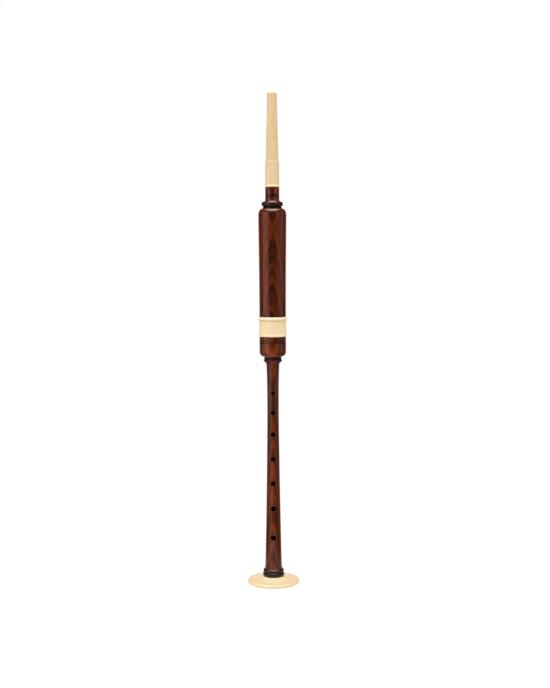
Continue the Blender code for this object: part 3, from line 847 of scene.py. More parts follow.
def wound(name: str, inner: float, outer: float, low: float, high: float, pitch: float,
          columns: int = 96) -> bpy.types.Mesh:
    """Thread wound side by side in a groove, as one closed surface.

    The outer side's radius is outer - depth (1 - |cos(pi z / pitch + a / 2)|), where a is the angle
    round the axis, so its ridges climb one pitch a turn. The depth fades out at both ends.

    Args:
        name: of the mesh.
        inner: radius of the inner side.
        outer: radius over the thread.
        low: lower end.
        high: upper end.
        pitch: from one turn to the next.
        columns: facets round the axis.

    Returns:
        The mesh.
    """
    edge = pitch * 0.5
    steps = int((high - low - 2 * edge) / pitch * 8)
    side = np.linspace(high - edge, low + edge, steps)
    outline = rows(
        arc((outer - edge, high - edge), (edge, edge), 90, 0, 4),
        np.column_stack([np.full(steps, outer), side])[1:-1],
        arc((outer - edge, low + edge), (edge, edge), 0, -90, 4),
        [(inner, low), (inner, high)],
    )
    points = ring_points(outline, columns)
    turn = np.linspace(0.0, math.tau, columns, endpoint=False)[None, :]
    height = points[..., 2]
    ridge = 1 - np.abs(np.cos(math.pi * (height - low) / pitch + turn / 2))
    radius = outline[:, :1]
    on_side = np.clip((radius - outer + edge) / edge, 0, 1)
    depth = 0.32 * pitch * ridge * on_side
    factor = (radius - depth) / radius
    points[..., 0] *= factor
    points[..., 1] *= factor
    return make_mesh(name, points, ring_faces(len(outline), columns))


@dataclass
class Finishes:
    """The materials that several sub-assemblies share, by slot."""

    made: dict

    def __getitem__(self, slot: Slot) -> bpy.types.Material:
        """The material of a slot."""
        return self.made[slot]


@dataclass(frozen=True)
class FingerHole:
    """A drilled hole: share of the tube's length, diameter, and the angle that it faces."""

    share: float
    diameter: float
    facing: float


@dataclass
class LowerSection:
    """Sole, drilled wooden section and the thread on its tenon. Heights count from the foot's seat."""

    seat: float
    sole_high: float
    sole_radius: float
    tenon_top: float
    rim_height: float = 0.0036
    rim_reach: float = 0.0027
    under_round: float = 0.0015
    ring_radius: float = 0.0130
    ring_rise: float = 0.0017
    dome_shape: float = 0.7
    spigot_wall: float = 0.0030
    spigot_recess: float = 0.0008
    bore: float = 0.00275
    bell: float = 0.0042
    bell_length: float = 0.0060
    foot_ring_radius: float = 0.0109
    foot_ring_height: float = 0.00365
    foot_groove_height: float = 0.0005
    foot_groove_depth: float = 0.0009
    foot_bead_radius: float = 0.0105
    foot_bead_height: float = 0.00305
    foot_bead_upper: float = 0.70
    tube_length: float = 0.2090
    tube_foot: float = 0.00845
    tube_waist: float = 0.00587
    tube_top_radius: float = 0.00664
    waist_share: float = 0.775
    lower_flare: float = 1.4
    upper_flare: float = 3.0
    cove_reach: float = 0.00035
    cove_height: float = 0.0100
    collar_radius: float = 0.00945
    cone_height: float = 0.0034
    collar_bead_height: float = 0.0010
    collar_groove_depth: float = 0.0009
    collar_groove_height: float = 0.00085
    collar_ring_height: float = 0.0009
    head_length: float = 0.0203
    head_radius: float = 0.0135
    head_round: float = 0.0050
    comb_drop: float = 0.0043
    comb_pitch: float = 0.0019
    comb_width: float = 0.0011
    comb_depth: float = 0.00015
    tenon_groove: float = 0.0081
    tenon_winding: float = 0.0096
    tenon_ring: float = 0.0093
    tenon_ring_height: float = 0.0026
    reed_seat: float = 0.0036
    reed_seat_taper: float = 0.0004
    reed_seat_depth: float = 0.0130
    rim_round: float = 0.00016
    corner: float = 0.00012
    columns: int = 96
    window_columns: int = 8
    window_rows: int = 40
    bore_window_columns: int = 22
    bore_window_rows: int = 12
    window_margin: float = 0.0011
    holes: tuple[FingerHole, ...] = (
        FingerHole(0.1574, 0.0053, -90), FingerHole(0.2994, 0.0049, -90), FingerHole(0.4219, 0.0047, -90),
        FingerHole(0.5402, 0.0047, -90), FingerHole(0.6601, 0.0045, -90), FingerHole(0.7650, 0.0042, -90),
        FingerHole(0.8594, 0.0037, -90), FingerHole(0.9441, 0.0039, 90),
    )

    def __post_init__(self) -> None:
        """Work out the heights of the turned details."""
        self.foot_groove_top = self.seat + self.foot_ring_height + self.foot_groove_height
        self.tube_low = self.foot_groove_top + self.foot_bead_height
        self.tube_high = self.tube_low + self.tube_length
        self.cone_top = self.tube_high + self.cone_height
        self.collar_bead_top = self.cone_top + self.collar_bead_height
        self.collar_ring_top = self.collar_bead_top + self.collar_groove_height + self.collar_ring_height
        self.head_low = self.collar_ring_top + self.collar_groove_height
        self.joint_face = self.head_low + self.head_length
        self.spigot_end = self.spigot_recess

    def lines(self) -> tuple[TurnedLine, ...]:
        """The dark lines: friction burns on the head's combs, dark polish and painted shade in the collar's
        grooves and the foot's groove, and painted shade at the foot of the tube and over the foot's ring by
        the sole.
        """
        upper = self.joint_face - self.comb_drop
        return (
            TurnedLine(upper, 0.00055), TurnedLine(upper - self.comb_pitch, 0.00055),
            # Dark polish and painted shade in the collar's grooves and the foot's groove; painted shade at
            # the tube's foot and over the foot's ring by the sole.
            TurnedLine(self.head_low - self.collar_groove_height / 2, 0.0007, 1.0),
            TurnedLine(self.collar_bead_top + self.collar_groove_height / 2, 0.00065, 1.0),
            TurnedLine(self.foot_groove_top - self.foot_groove_height / 2, 0.0006, 0.9),
            TurnedLine(self.tube_low, 0.0005, 0.7), TurnedLine(self.seat + 0.0012, 0.0015, 0.5),
        )

    def dark_holes(self) -> tuple[DarkHole, ...]:
        """The drilled holes, for the painted shade in the wood's material."""
        return tuple(DarkHole(self.tube_low + hole.share * self.tube_length, hole.diameter / 2,
                              math.copysign(1.0, hole.facing)) for hole in self.holes)

    def tube_radius(self, height: np.ndarray) -> np.ndarray:
        """Outer radius of the tube: two powers of the distance from its waist, and a cove at its foot.

        Args:
            height: heights in the whole instrument.

        Returns:
            The radii.
        """
        up = height - self.tube_low
        waist = self.waist_share * self.tube_length
        below = np.clip((waist - up) / waist, 0, 1) ** self.lower_flare
        above = np.clip((up - waist) / (self.tube_length - waist), 0, 1) ** self.upper_flare
        cove = self.cove_reach * np.clip(1 - up / self.cove_height, 0, 1) ** 2
        flare = (self.tube_foot - self.tube_waist) * below + (self.tube_top_radius - self.tube_waist) * above
        return self.tube_waist + flare + cove

    def bore_radius(self, height: np.ndarray) -> np.ndarray:
        """Radius of the bore, the same at all heights.

        Args:
            height: heights in the whole instrument.

        Returns:
            The radii.
        """
        return np.full(np.shape(height), self.bore)

    def windows(self) -> list[tuple[FingerHole, float, float]]:
        """Each hole with its height and half the height of its window in the grid, top down."""
        found = [(hole, self.tube_low + hole.share * self.tube_length, hole.diameter / 2 + self.window_margin)
                 for hole in self.holes]
        return sorted(found, key=lambda window: -window[1])

    def window_heights(self, high: float, low: float, count: int, spacing: float) -> np.ndarray:
        """Heights of grid rows, top down, with a fixed number of rows across each hole's window.

        Args:
            high: first height.
            low: last height.
            count: rows across a window.
            spacing: the widest step between windows.

        Returns:
            The heights.
        """
        stretches = []
        reached = high
        for _, height, half in self.windows():
            free = reached - (height + half)
            stretches.append(np.linspace(reached, height + half, int(free / spacing) + 2)[:-1])
            stretches.append(np.linspace(height + half, height - half, count + 1)[:-1])
            reached = height - half
        stretches.append(np.linspace(reached, low, int((reached - low) / spacing) + 2))
        return np.concatenate(stretches)

    def head_rows(self) -> np.ndarray:
        """Outline of the tenon's end, its groove, the head and the collar, top down."""
        top = self.tenon_top
        joint = self.joint_face
        ring = self.tenon_ring_height
        half = self.comb_width / 2
        combs = [
            [(self.head_radius, height + half), (self.head_radius - self.comb_depth, height + half * 0.2),
             (self.head_radius - self.comb_depth, height - half * 0.2), (self.head_radius, height - half)]
            for height in (joint - self.comb_drop, joint - self.comb_drop - self.comb_pitch)
        ]
        groove = self.collar_radius - self.collar_groove_depth
        return rows(
            [(self.reed_seat, top), (self.tenon_ring, top), (self.tenon_ring, top - ring)],
            [(self.tenon_groove, top - ring), (self.tenon_groove, joint + ring)],
            [(self.tenon_ring, joint + ring), (self.tenon_ring, joint)],
            [(self.head_radius, joint)], *combs,
            arc((self.head_radius - self.head_round, self.head_low + self.head_round),
                (self.head_round,) * 2, 0, -90, 24),
            [(groove, self.head_low)],
            bead(groove, self.collar_ring_top, self.collar_groove_depth / 2, self.collar_ring_height, 12),
            [(groove, self.collar_bead_top)],
            arc((groove, self.cone_top), (self.collar_groove_depth, self.collar_bead_height), 90, -20, 12),
        )

    def foot_rows(self) -> np.ndarray:
        """Outline of the foot's bead, groove and ring, and of its spigot, top down to the bell."""
        groove = self.foot_bead_radius - self.foot_groove_depth
        inner = float(self.tube_radius(np.array(self.tube_low)))
        upper = self.foot_bead_height * self.foot_bead_upper
        lower = self.foot_bead_height - upper
        reach = self.foot_ring_radius - groove
        spigot = self.bell + self.spigot_wall
        return rows(
            arc((inner, self.tube_low - upper), (self.foot_bead_radius - inner, upper), 82, 0, 14),
            arc((groove, self.foot_groove_top + lower), (self.foot_groove_depth, lower), -8, -90, 10),
            [(groove, self.seat + self.foot_ring_height)],
            bead(groove, self.seat + self.foot_ring_height, reach, self.foot_ring_height)[1:-1],
            [(self.foot_ring_radius - reach / 2, self.seat), (spigot, self.seat)],
            [(spigot, self.spigot_end), (self.bell, self.spigot_end)],
        )

    def body_mesh(self) -> bpy.types.Mesh:
        """The drilled section: a turned grid whose windows are filled by the sheets of the holes.

        Returns:
            The mesh.
        """
        head = eased(self.head_rows(), self.corner, closed=False)
        outer = self.window_heights(self.tube_high, self.tube_low + 0.0002, self.window_rows, 0.0016)
        foot = eased(self.foot_rows(), self.corner, closed=False)
        bore_low = self.spigot_end + self.bell_length
        seat_floor = self.tenon_top - self.reed_seat_depth
        inner = self.window_heights(seat_floor, bore_low, self.bore_window_rows, 0.0040)[::-1]
        seat = [(self.reed_seat - self.reed_seat_taper, seat_floor)]
        outline = rows(
            head, np.column_stack([self.tube_radius(outer), outer]), foot,
            np.column_stack([self.bore_radius(inner), inner]), seat,
        )
        outer_start = len(head)
        inner_start = outer_start + len(outer) + len(foot)
        points = ring_points(outline, self.columns)
        grid = ring_faces(len(outline), self.columns)
        keep = np.ones(grid.shape[:2], bool)
        sheets = [points.reshape(-1, 3)]
        quads = []
        total = outline.shape[0] * self.columns
        for hole, height, half in self.windows():
            middle = round(hole.facing % 360 / 360 * self.columns)
            top_row = outer_start + int(np.abs(outer - (height + half)).argmin())
            low_row = inner_start + int(np.abs(inner - (height - half)).argmin())
            outer_loop = self.window_loop(keep, top_row, self.window_rows, middle, self.window_columns)
            inner_loop = self.window_loop(keep, low_row, self.bore_window_rows, middle,
                                          self.bore_window_columns)[::-1]
            shift = self.bore_window_columns * 2
            inner_loop = np.roll(inner_loop, shift + 1)
            sheet = self.hole_sheet(hole, height, half)
            count = len(outer_loop)
            numbers = total + np.arange(sheet.shape[0] * count).reshape(-1, count)
            total += numbers.size
            sheets.append(sheet.reshape(-1, 3))
            strips = np.vstack([outer_loop, numbers, inner_loop])
            after = np.roll(strips, -1, axis=1)
            quads.append(np.stack([strips[:-1], strips[1:], after[1:], after[:-1]], axis=2).reshape(-1, 4))
        quads.append(grid[keep])
        return make_mesh("chanter_wood", np.vstack(sheets), np.vstack(quads))

    def window_loop(self, keep: np.ndarray, top: int, count: int, middle: int, half: int) -> np.ndarray:
        """Open a window in the grid and list its border.

        Args:
            keep: which cells of the grid stay; the window's are cleared.
            top: first row of the window.
            count: rows across it.
            middle: column at its middle.
            half: columns on each side of the middle.

        Returns:
            Point numbers round the border, from the first row's left end to its right, down the
            right side and back, as seen with columns running to the right.
        """
        across = (middle - half + np.arange(2 * half + 1)) % self.columns
        down = top + np.arange(count + 1)
        keep[np.ix_(down[:-1], across[:-1])] = False
        border = [down[0] * self.columns + across[:-1], down[:-1] * self.columns + across[-1],
                  down[-1] * self.columns + across[:0:-1], down[:0:-1] * self.columns + across[0]]
        return np.concatenate(border)

    def border_places(self, count: int, half_columns: int, height: float, half: float,
                      rising: bool) -> tuple[np.ndarray, np.ndarray]:
        """Angle from the hole's middle and height of each border point of a window.

        Args:
            count: rows across the window.
            half_columns: columns on each side of its middle.
            height: of its middle.
            half: half its height.
            rising: whether the rows run upwards.

        Returns:
            The angles and the heights, in the order of window_loop.
        """
        step = math.tau / self.columns
        across = np.linspace(-half_columns, half_columns, 2 * half_columns + 1) * step
        sign = -1.0 if rising else 1.0
        down = height + sign * np.linspace(half, -half, count + 1)
        angles = [across[:-1], np.full(count, across[-1]), across[:0:-1], np.full(count, across[0])]
        heights = [np.full(2 * half_columns, down[0]), down[:-1], np.full(2 * half_columns, down[-1]),
                   down[:0:-1]]
        return np.concatenate(angles), np.concatenate(heights)

    def hole_sheet(self, hole: FingerHole, height: float, half: float) -> np.ndarray:
        """One hole as rings of points, from its window in the tube through its wall to the bore's.

        On the tube and in the bore a ring's angle and height run from the window's border to the
        hole's circle. Between them its rim is a quarter round and its wall is straight.

        Args:
            hole: the hole.
            height: of its middle.
            half: half the height of its window.

        Returns:
            An array of shape (rings, border points, 3).
        """
        reach = hole.diameter / 2
        angles, heights = self.border_places(self.window_rows, self.window_columns, height, half, False)
        across = angles * float(self.tube_radius(np.array(height)))
        around = np.arctan2(heights - height, across)
        rings = []
        wide = reach + self.rim_round
        mouth_across = wide * np.cos(around)
        mouth_height = height + wide * np.sin(around)
        mouth_angle = np.arcsin(mouth_across / self.tube_radius(mouth_height))
        for share in (0.3, 0.6, 0.85, 1.0):
            angle = angles + (mouth_angle - angles) * share
            level = heights + (mouth_height - heights) * share
            radius = self.tube_radius(level)
            rings.append(np.stack([radius * np.sin(angle), radius * np.cos(angle), level], axis=1))
        for turn in np.radians(np.linspace(15, 90, 6)):
            ring_reach = reach + self.rim_round * (1 - math.sin(turn))
            sink = self.rim_round * (1 - math.cos(turn))
            side = ring_reach * np.cos(around)
            level = height + ring_reach * np.sin(around)
            out = np.sqrt(self.tube_radius(level) ** 2 - side ** 2) - sink
            rings.append(np.stack([side, out, level], axis=1))
        side = reach * np.cos(around)
        level = height + reach * np.sin(around)
        inner_out = np.sqrt(self.bore ** 2 - side ** 2)
        outer_out = rings[-1][:, 1]
        for share in (0.25, 0.5, 0.75, 1.0):
            rings.append(np.stack([side, outer_out + (inner_out - outer_out) * share, level], axis=1))
        bore_angles, bore_heights = self.border_places(self.bore_window_rows, self.bore_window_columns,
                                                       height, half, True)
        turned_round = self.bore_window_columns * 2 + 1
        bore_angles = np.roll(bore_angles[::-1], turned_round)
        bore_heights = np.roll(bore_heights[::-1], turned_round)
        rim_angle = np.arcsin(side / self.bore)
        for share in (0.35, 0.7):
            angle = rim_angle + (bore_angles - rim_angle) * share
            height_here = level + (bore_heights - level) * share
            ring = [self.bore * np.sin(angle), self.bore * np.cos(angle), height_here]
            rings.append(np.stack(ring, axis=1))
        sheet = np.array(rings)
        facing = math.radians(hole.facing)
        outwards = np.array([math.cos(facing), math.sin(facing), 0.0])
        sideways = np.array([-math.sin(facing), math.cos(facing), 0.0])
        upwards = np.array([0.0, 0.0, 1.0])
        return sheet @ np.array([sideways, outwards, upwards])

    def sole_mesh(self) -> bpy.types.Mesh:
        """Disc with a raised ring round the foot, a hollow upper side, a rounded rim and a flat underside."""
        hole = self.bell + self.spigot_wall + GAP
        dome_top = self.sole_high - self.ring_rise
        rim = arc((self.sole_radius - self.rim_reach, self.under_round),
                  (self.rim_reach, self.rim_height - self.under_round), 75, 0, 20)
        share = np.linspace(0, 1, 30)[1:-1]
        dome = np.column_stack([
            self.ring_radius + (rim[0, 0] - self.ring_radius) * share,
            dome_top + (rim[0, 1] - dome_top) * share ** self.dome_shape,
        ])
        outline = rows(
            [(hole, self.sole_high)],
            arc((self.ring_radius - self.ring_rise, dome_top), (self.ring_rise,) * 2, 90, 0, 10),
            dome, rim,
            arc((self.sole_radius - self.under_round, self.under_round), (self.under_round,) * 2, 0, -90, 14),
            [(hole, 0.0)],
        )
        return turned("sole_disc", outline, 192, 0.00015)

    def build(self, finishes: Finishes) -> None:
        """Make the sole, the drilled section and the tenon's thread.

        Args:
            finishes: the materials.
        """
        put("sole_disc", self.sole_mesh(), finishes[Slot.IVORY], Slot.IVORY, Body.CHANTER, "sole")
        put("chanter_wood", self.body_mesh(), finishes[Slot.LOWER_WOOD], Slot.LOWER_WOOD, Body.CHANTER,
            "chanter_body")
        low = self.joint_face + self.tenon_ring_height + GAP
        high = self.tenon_top - self.tenon_ring_height - GAP
        thread = wound("tenon_winding", self.tenon_groove + GAP, self.tenon_winding, low, high, 0.00062)
        put("tenon_winding", thread, finishes[Slot.HEMP], Slot.HEMP, Body.CHANTER, "tenon_hemp")


@dataclass
class UpperSection:
    """Barrel with its ferrule, and the sleeve round its neck. Heights count from the ferrule's underside."""

    low: float
    wall_radius: float = 0.01365
    barrel_radius: float = 0.0135
    socket: float = 0.0099
    spigot: float = 0.0117
    ferrule_inner: float = 0.0120
    ferrule_length: float = 0.0197
    ferrule_lip: float = 0.0020
    top_land: float = 0.0004
    top_bead_reach: float = 0.00110
    top_bead_height: float = 0.0030
    low_bead_reach: float = 0.00062
    low_bead_height: float = 0.0024
    barrel_length: float = 0.1011
    barrel_swell: float = 0.00065
    swell_shape: float = 1.6
    barrel_edge: float = 0.0004
    shoulder_reach: float = 0.0049
    shoulder_height: float = 0.0064
    groove_height: float = 0.0012
    ring_radius: float = 0.01083
    ring_height: float = 0.0052
    ring_round: float = 0.45
    cove_height: float = 0.0029
    cove_reach: float = 0.0016
    neck_length: float = 0.0112
    neck_radius: float = 0.00702
    neck_spigot: float = 0.00565
    neck_socket: float = 0.0046
    comb_rise: float = 0.0020
    comb_pitch: float = 0.0019
    comb_width: float = 0.0011
    comb_depth: float = 0.00015
    socket_end: float = 0.0277
    chamber: float = 0.0085
    chamber_length: float = 0.0650
    chamber_roof: float = 0.0060
    air: float = 0.0030
    sleeve_length: float = 0.0258
    sleeve_lip: float = 0.0013
    sleeve_radius: float = 0.00685
    sleeve_inner: float = 0.00595
    sleeve_spread: float = 0.00017
    sleeve_round: float = 0.0004
    sleeve_bead_reach: float = 0.00050
    sleeve_bead_height: float = 0.0019
    tenon_length: float = 0.0225
    end_clearance: float = 0.0010

    def __post_init__(self) -> None:
        """Work out the heights of the turned details in the whole instrument."""
        self.ferrule_top = self.low + self.ferrule_length
        self.barrel_low = self.ferrule_top + GAP
        self.shoulder_low = self.barrel_low + self.barrel_length
        self.shoulder_top = self.shoulder_low + self.shoulder_height
        self.ring_low = self.shoulder_top + self.groove_height
        self.ring_top = self.ring_low + self.ring_height
        self.cove_top = self.ring_top + self.cove_height
        self.neck_top = self.cove_top + self.neck_length
        self.sleeve_low = self.neck_top + GAP
        self.sleeve_top = self.sleeve_low + self.sleeve_length
        self.spigot_top = self.sleeve_top - self.sleeve_lip - GAP
        self.mouth_seat = self.sleeve_top + GAP

    def lines(self) -> tuple[TurnedLine, ...]:
        """The dark lines: friction burns on the neck's combs, dark polish and painted shade in the ring's
        groove, and a dark line at the barrel's lower edge.
        """
        lower = self.cove_top + self.comb_rise
        return (
            TurnedLine(lower, 0.0008), TurnedLine(lower + self.comb_pitch, 0.0008),
            # Dark polish and painted shade in the ring's groove.
            TurnedLine(self.ring_low - self.groove_height / 2, 0.0010, 1.0),
            TurnedLine(self.barrel_low, 0.0006, 0.8),
        )

    def wood_mesh(self) -> bpy.types.Mesh:
        """Neck, ring and barrel outside; socket, reed chamber and air passage inside."""
        neck = self.neck_radius
        half = self.comb_width / 2
        lower = self.cove_top + self.comb_rise
        combs = [
            [(neck, height + half), (neck - self.comb_depth, height + half * 0.2),
             (neck - self.comb_depth, height - half * 0.2), (neck, height - half)]
            for height in (lower + self.comb_pitch, lower)
        ]
        shoulder = self.barrel_radius + self.barrel_swell
        groove = shoulder - self.shoulder_reach
        ring_half = self.ring_height * self.ring_round
        share = np.linspace(1, 0, 40)[1:]
        barrel = np.column_stack([
            self.barrel_radius + self.barrel_swell * share ** self.swell_shape,
            self.barrel_low + self.barrel_edge + (self.barrel_length - self.barrel_edge) * share,
        ])
        chamber_low = self.low + self.socket_end
        chamber_top = chamber_low + self.chamber_length
        socket_floor = self.mouth_seat - self.tenon_length - self.end_clearance
        spigot_low = self.low + self.ferrule_lip + GAP
        outline = rows(
            [(self.neck_socket, self.spigot_top), (self.neck_spigot, self.spigot_top)],
            [(self.neck_spigot, self.neck_top), (neck, self.neck_top)], *combs,
            arc((neck + self.cove_reach, self.cove_top), (self.cove_reach, self.cove_height), 180, 270, 14),
            arc((groove, self.ring_top - ring_half), (self.ring_radius - groove, ring_half), 90, -60, 24),
            [(groove, self.ring_low)],
            arc((groove, self.shoulder_low), (self.shoulder_reach, self.shoulder_height), 90, 0, 28),
            barrel, [(self.barrel_radius - self.barrel_edge, self.barrel_low)],
            [(self.spigot, self.barrel_low), (self.spigot, spigot_low), (self.socket, spigot_low)],
            [(self.socket, chamber_low), (self.chamber, chamber_low), (self.chamber, chamber_top)],
            [(self.air, chamber_top + self.chamber_roof), (self.air, socket_floor)],
            [(self.neck_socket, socket_floor)],
        )
        return turned("barrel_wood", outline, 160, 0.0001)

    def ferrule_mesh(self) -> bpy.types.Mesh:
        """Ring with a bead at each end and a lip that covers the end of the wood."""
        low = self.low
        outline = rows(
            [(self.ferrule_inner, self.ferrule_top), (self.wall_radius, self.ferrule_top)],
            bead(self.wall_radius, self.ferrule_top - self.top_land, self.top_bead_reach,
                 self.top_bead_height),
            bead(self.wall_radius, low + self.low_bead_height, self.low_bead_reach, self.low_bead_height),
            [(self.socket, low), (self.socket, low + self.ferrule_lip)],
            [(self.ferrule_inner, low + self.ferrule_lip)],
        )
        return turned("joint_ferrule", outline, 160, 0.00015)

    def sleeve_mesh(self) -> bpy.types.Mesh:
        """Sleeve with a lip over the end of the neck, fine turned rings and a bead at its foot.

        Its radius between lip and bead is the taper less a ripple: depth (1 - cos) / 2 over each
        ring's height.
        """
        foot = self.sleeve_radius + self.sleeve_spread
        bead_top = self.sleeve_low + self.sleeve_bead_height
        edge = self.sleeve_round
        height = np.linspace(self.sleeve_top - edge, bead_top, 241)[1:-1]
        share = (self.sleeve_top - edge - height) / (self.sleeve_top - edge - bead_top)
        ripple = 0.00002 * (1 - np.cos(math.tau * height / 0.0012))
        outline = rows(
            [(self.neck_socket, self.sleeve_top)],
            arc((self.sleeve_radius - edge, self.sleeve_top - edge), (edge, edge), 90, 0, 8),
            np.column_stack([self.sleeve_radius + self.sleeve_spread * share - ripple, height]),
            bead(foot, bead_top, self.sleeve_bead_reach, self.sleeve_bead_height, 16),
            [(self.sleeve_inner, self.sleeve_low), (self.sleeve_inner, self.sleeve_top - self.sleeve_lip)],
            [(self.neck_socket, self.sleeve_top - self.sleeve_lip)],
        )
        return turned("neck_sleeve", outline, 128, 0.0001)

    def build(self, finishes: Finishes) -> None:
        """Make the barrel, its ferrule and the sleeve.

        Args:
            finishes: the materials.
        """
        put("barrel_wood", self.wood_mesh(), finishes[Slot.UPPER_WOOD], Slot.UPPER_WOOD, Body.TOP,
            "top_section")
        put("joint_ferrule", self.ferrule_mesh(), finishes[Slot.IVORY], Slot.IVORY, Body.TOP,
            "barrel_ferrule")
        put("neck_sleeve", self.sleeve_mesh(), finishes[Slot.MOUTH_IVORY], Slot.MOUTH_IVORY, Body.TOP,
            "mouthpiece_ferrule")


@dataclass
class Mouthpiece:
    """Blown end: a tapered tube with a wound tenon. Heights count from its seat on the sleeve."""

    seat: float
    tip: float
    bore: float = 0.0023
    tip_radius: float = 0.00480
    shoulder: float = 0.00624
    tip_round: float = 0.0017
    tenon_length: float = 0.0225
    groove: float = 0.0033
    winding: float = 0.0043
    ring: float = 0.0040
    ring_height: float = 0.0018

    def tube_mesh(self) -> bpy.types.Mesh:
        """Tapered tube with a rounded tip above its shoulder, and a tenon below it."""
        inner = self.tip_round / 2
        end = self.seat - self.tenon_length
        low = self.seat - GAP + 0.00005
        outline = rows(
            arc((self.bore + inner, self.tip - inner), (inner, inner), 180, 90, 10),
            arc((self.tip_radius - self.tip_round, self.tip - self.tip_round), (self.tip_round,) * 2,
                90, 0, 14),
            [(self.shoulder, low), (self.ring, low), (self.ring, self.seat - self.ring_height)],
            [(self.groove, self.seat - self.ring_height), (self.groove, end + self.ring_height)],
            [(self.ring, end + self.ring_height), (self.ring, end), (self.bore, end)],
        )
        return turned("blow_tube", outline, 128, 0.00015)

    def build(self, finishes: Finishes) -> None:
        """Make the tube and the thread on its tenon.

        Args:
            finishes: the materials.
        """
        put("blow_tube", self.tube_mesh(), finishes[Slot.MOUTH_IVORY], Slot.MOUTH_IVORY, Body.MOUTHPIECE,
            "mouthpiece")
        high = self.seat - self.ring_height - GAP
        low = self.seat - self.tenon_length + self.ring_height + GAP
        thread = wound("tube_winding", self.groove + GAP, self.winding, low, high, 0.00056, 72)
        put("tube_winding", thread, finishes[Slot.HEMP], Slot.HEMP, Body.MOUTHPIECE, "mouthpiece_hemp")


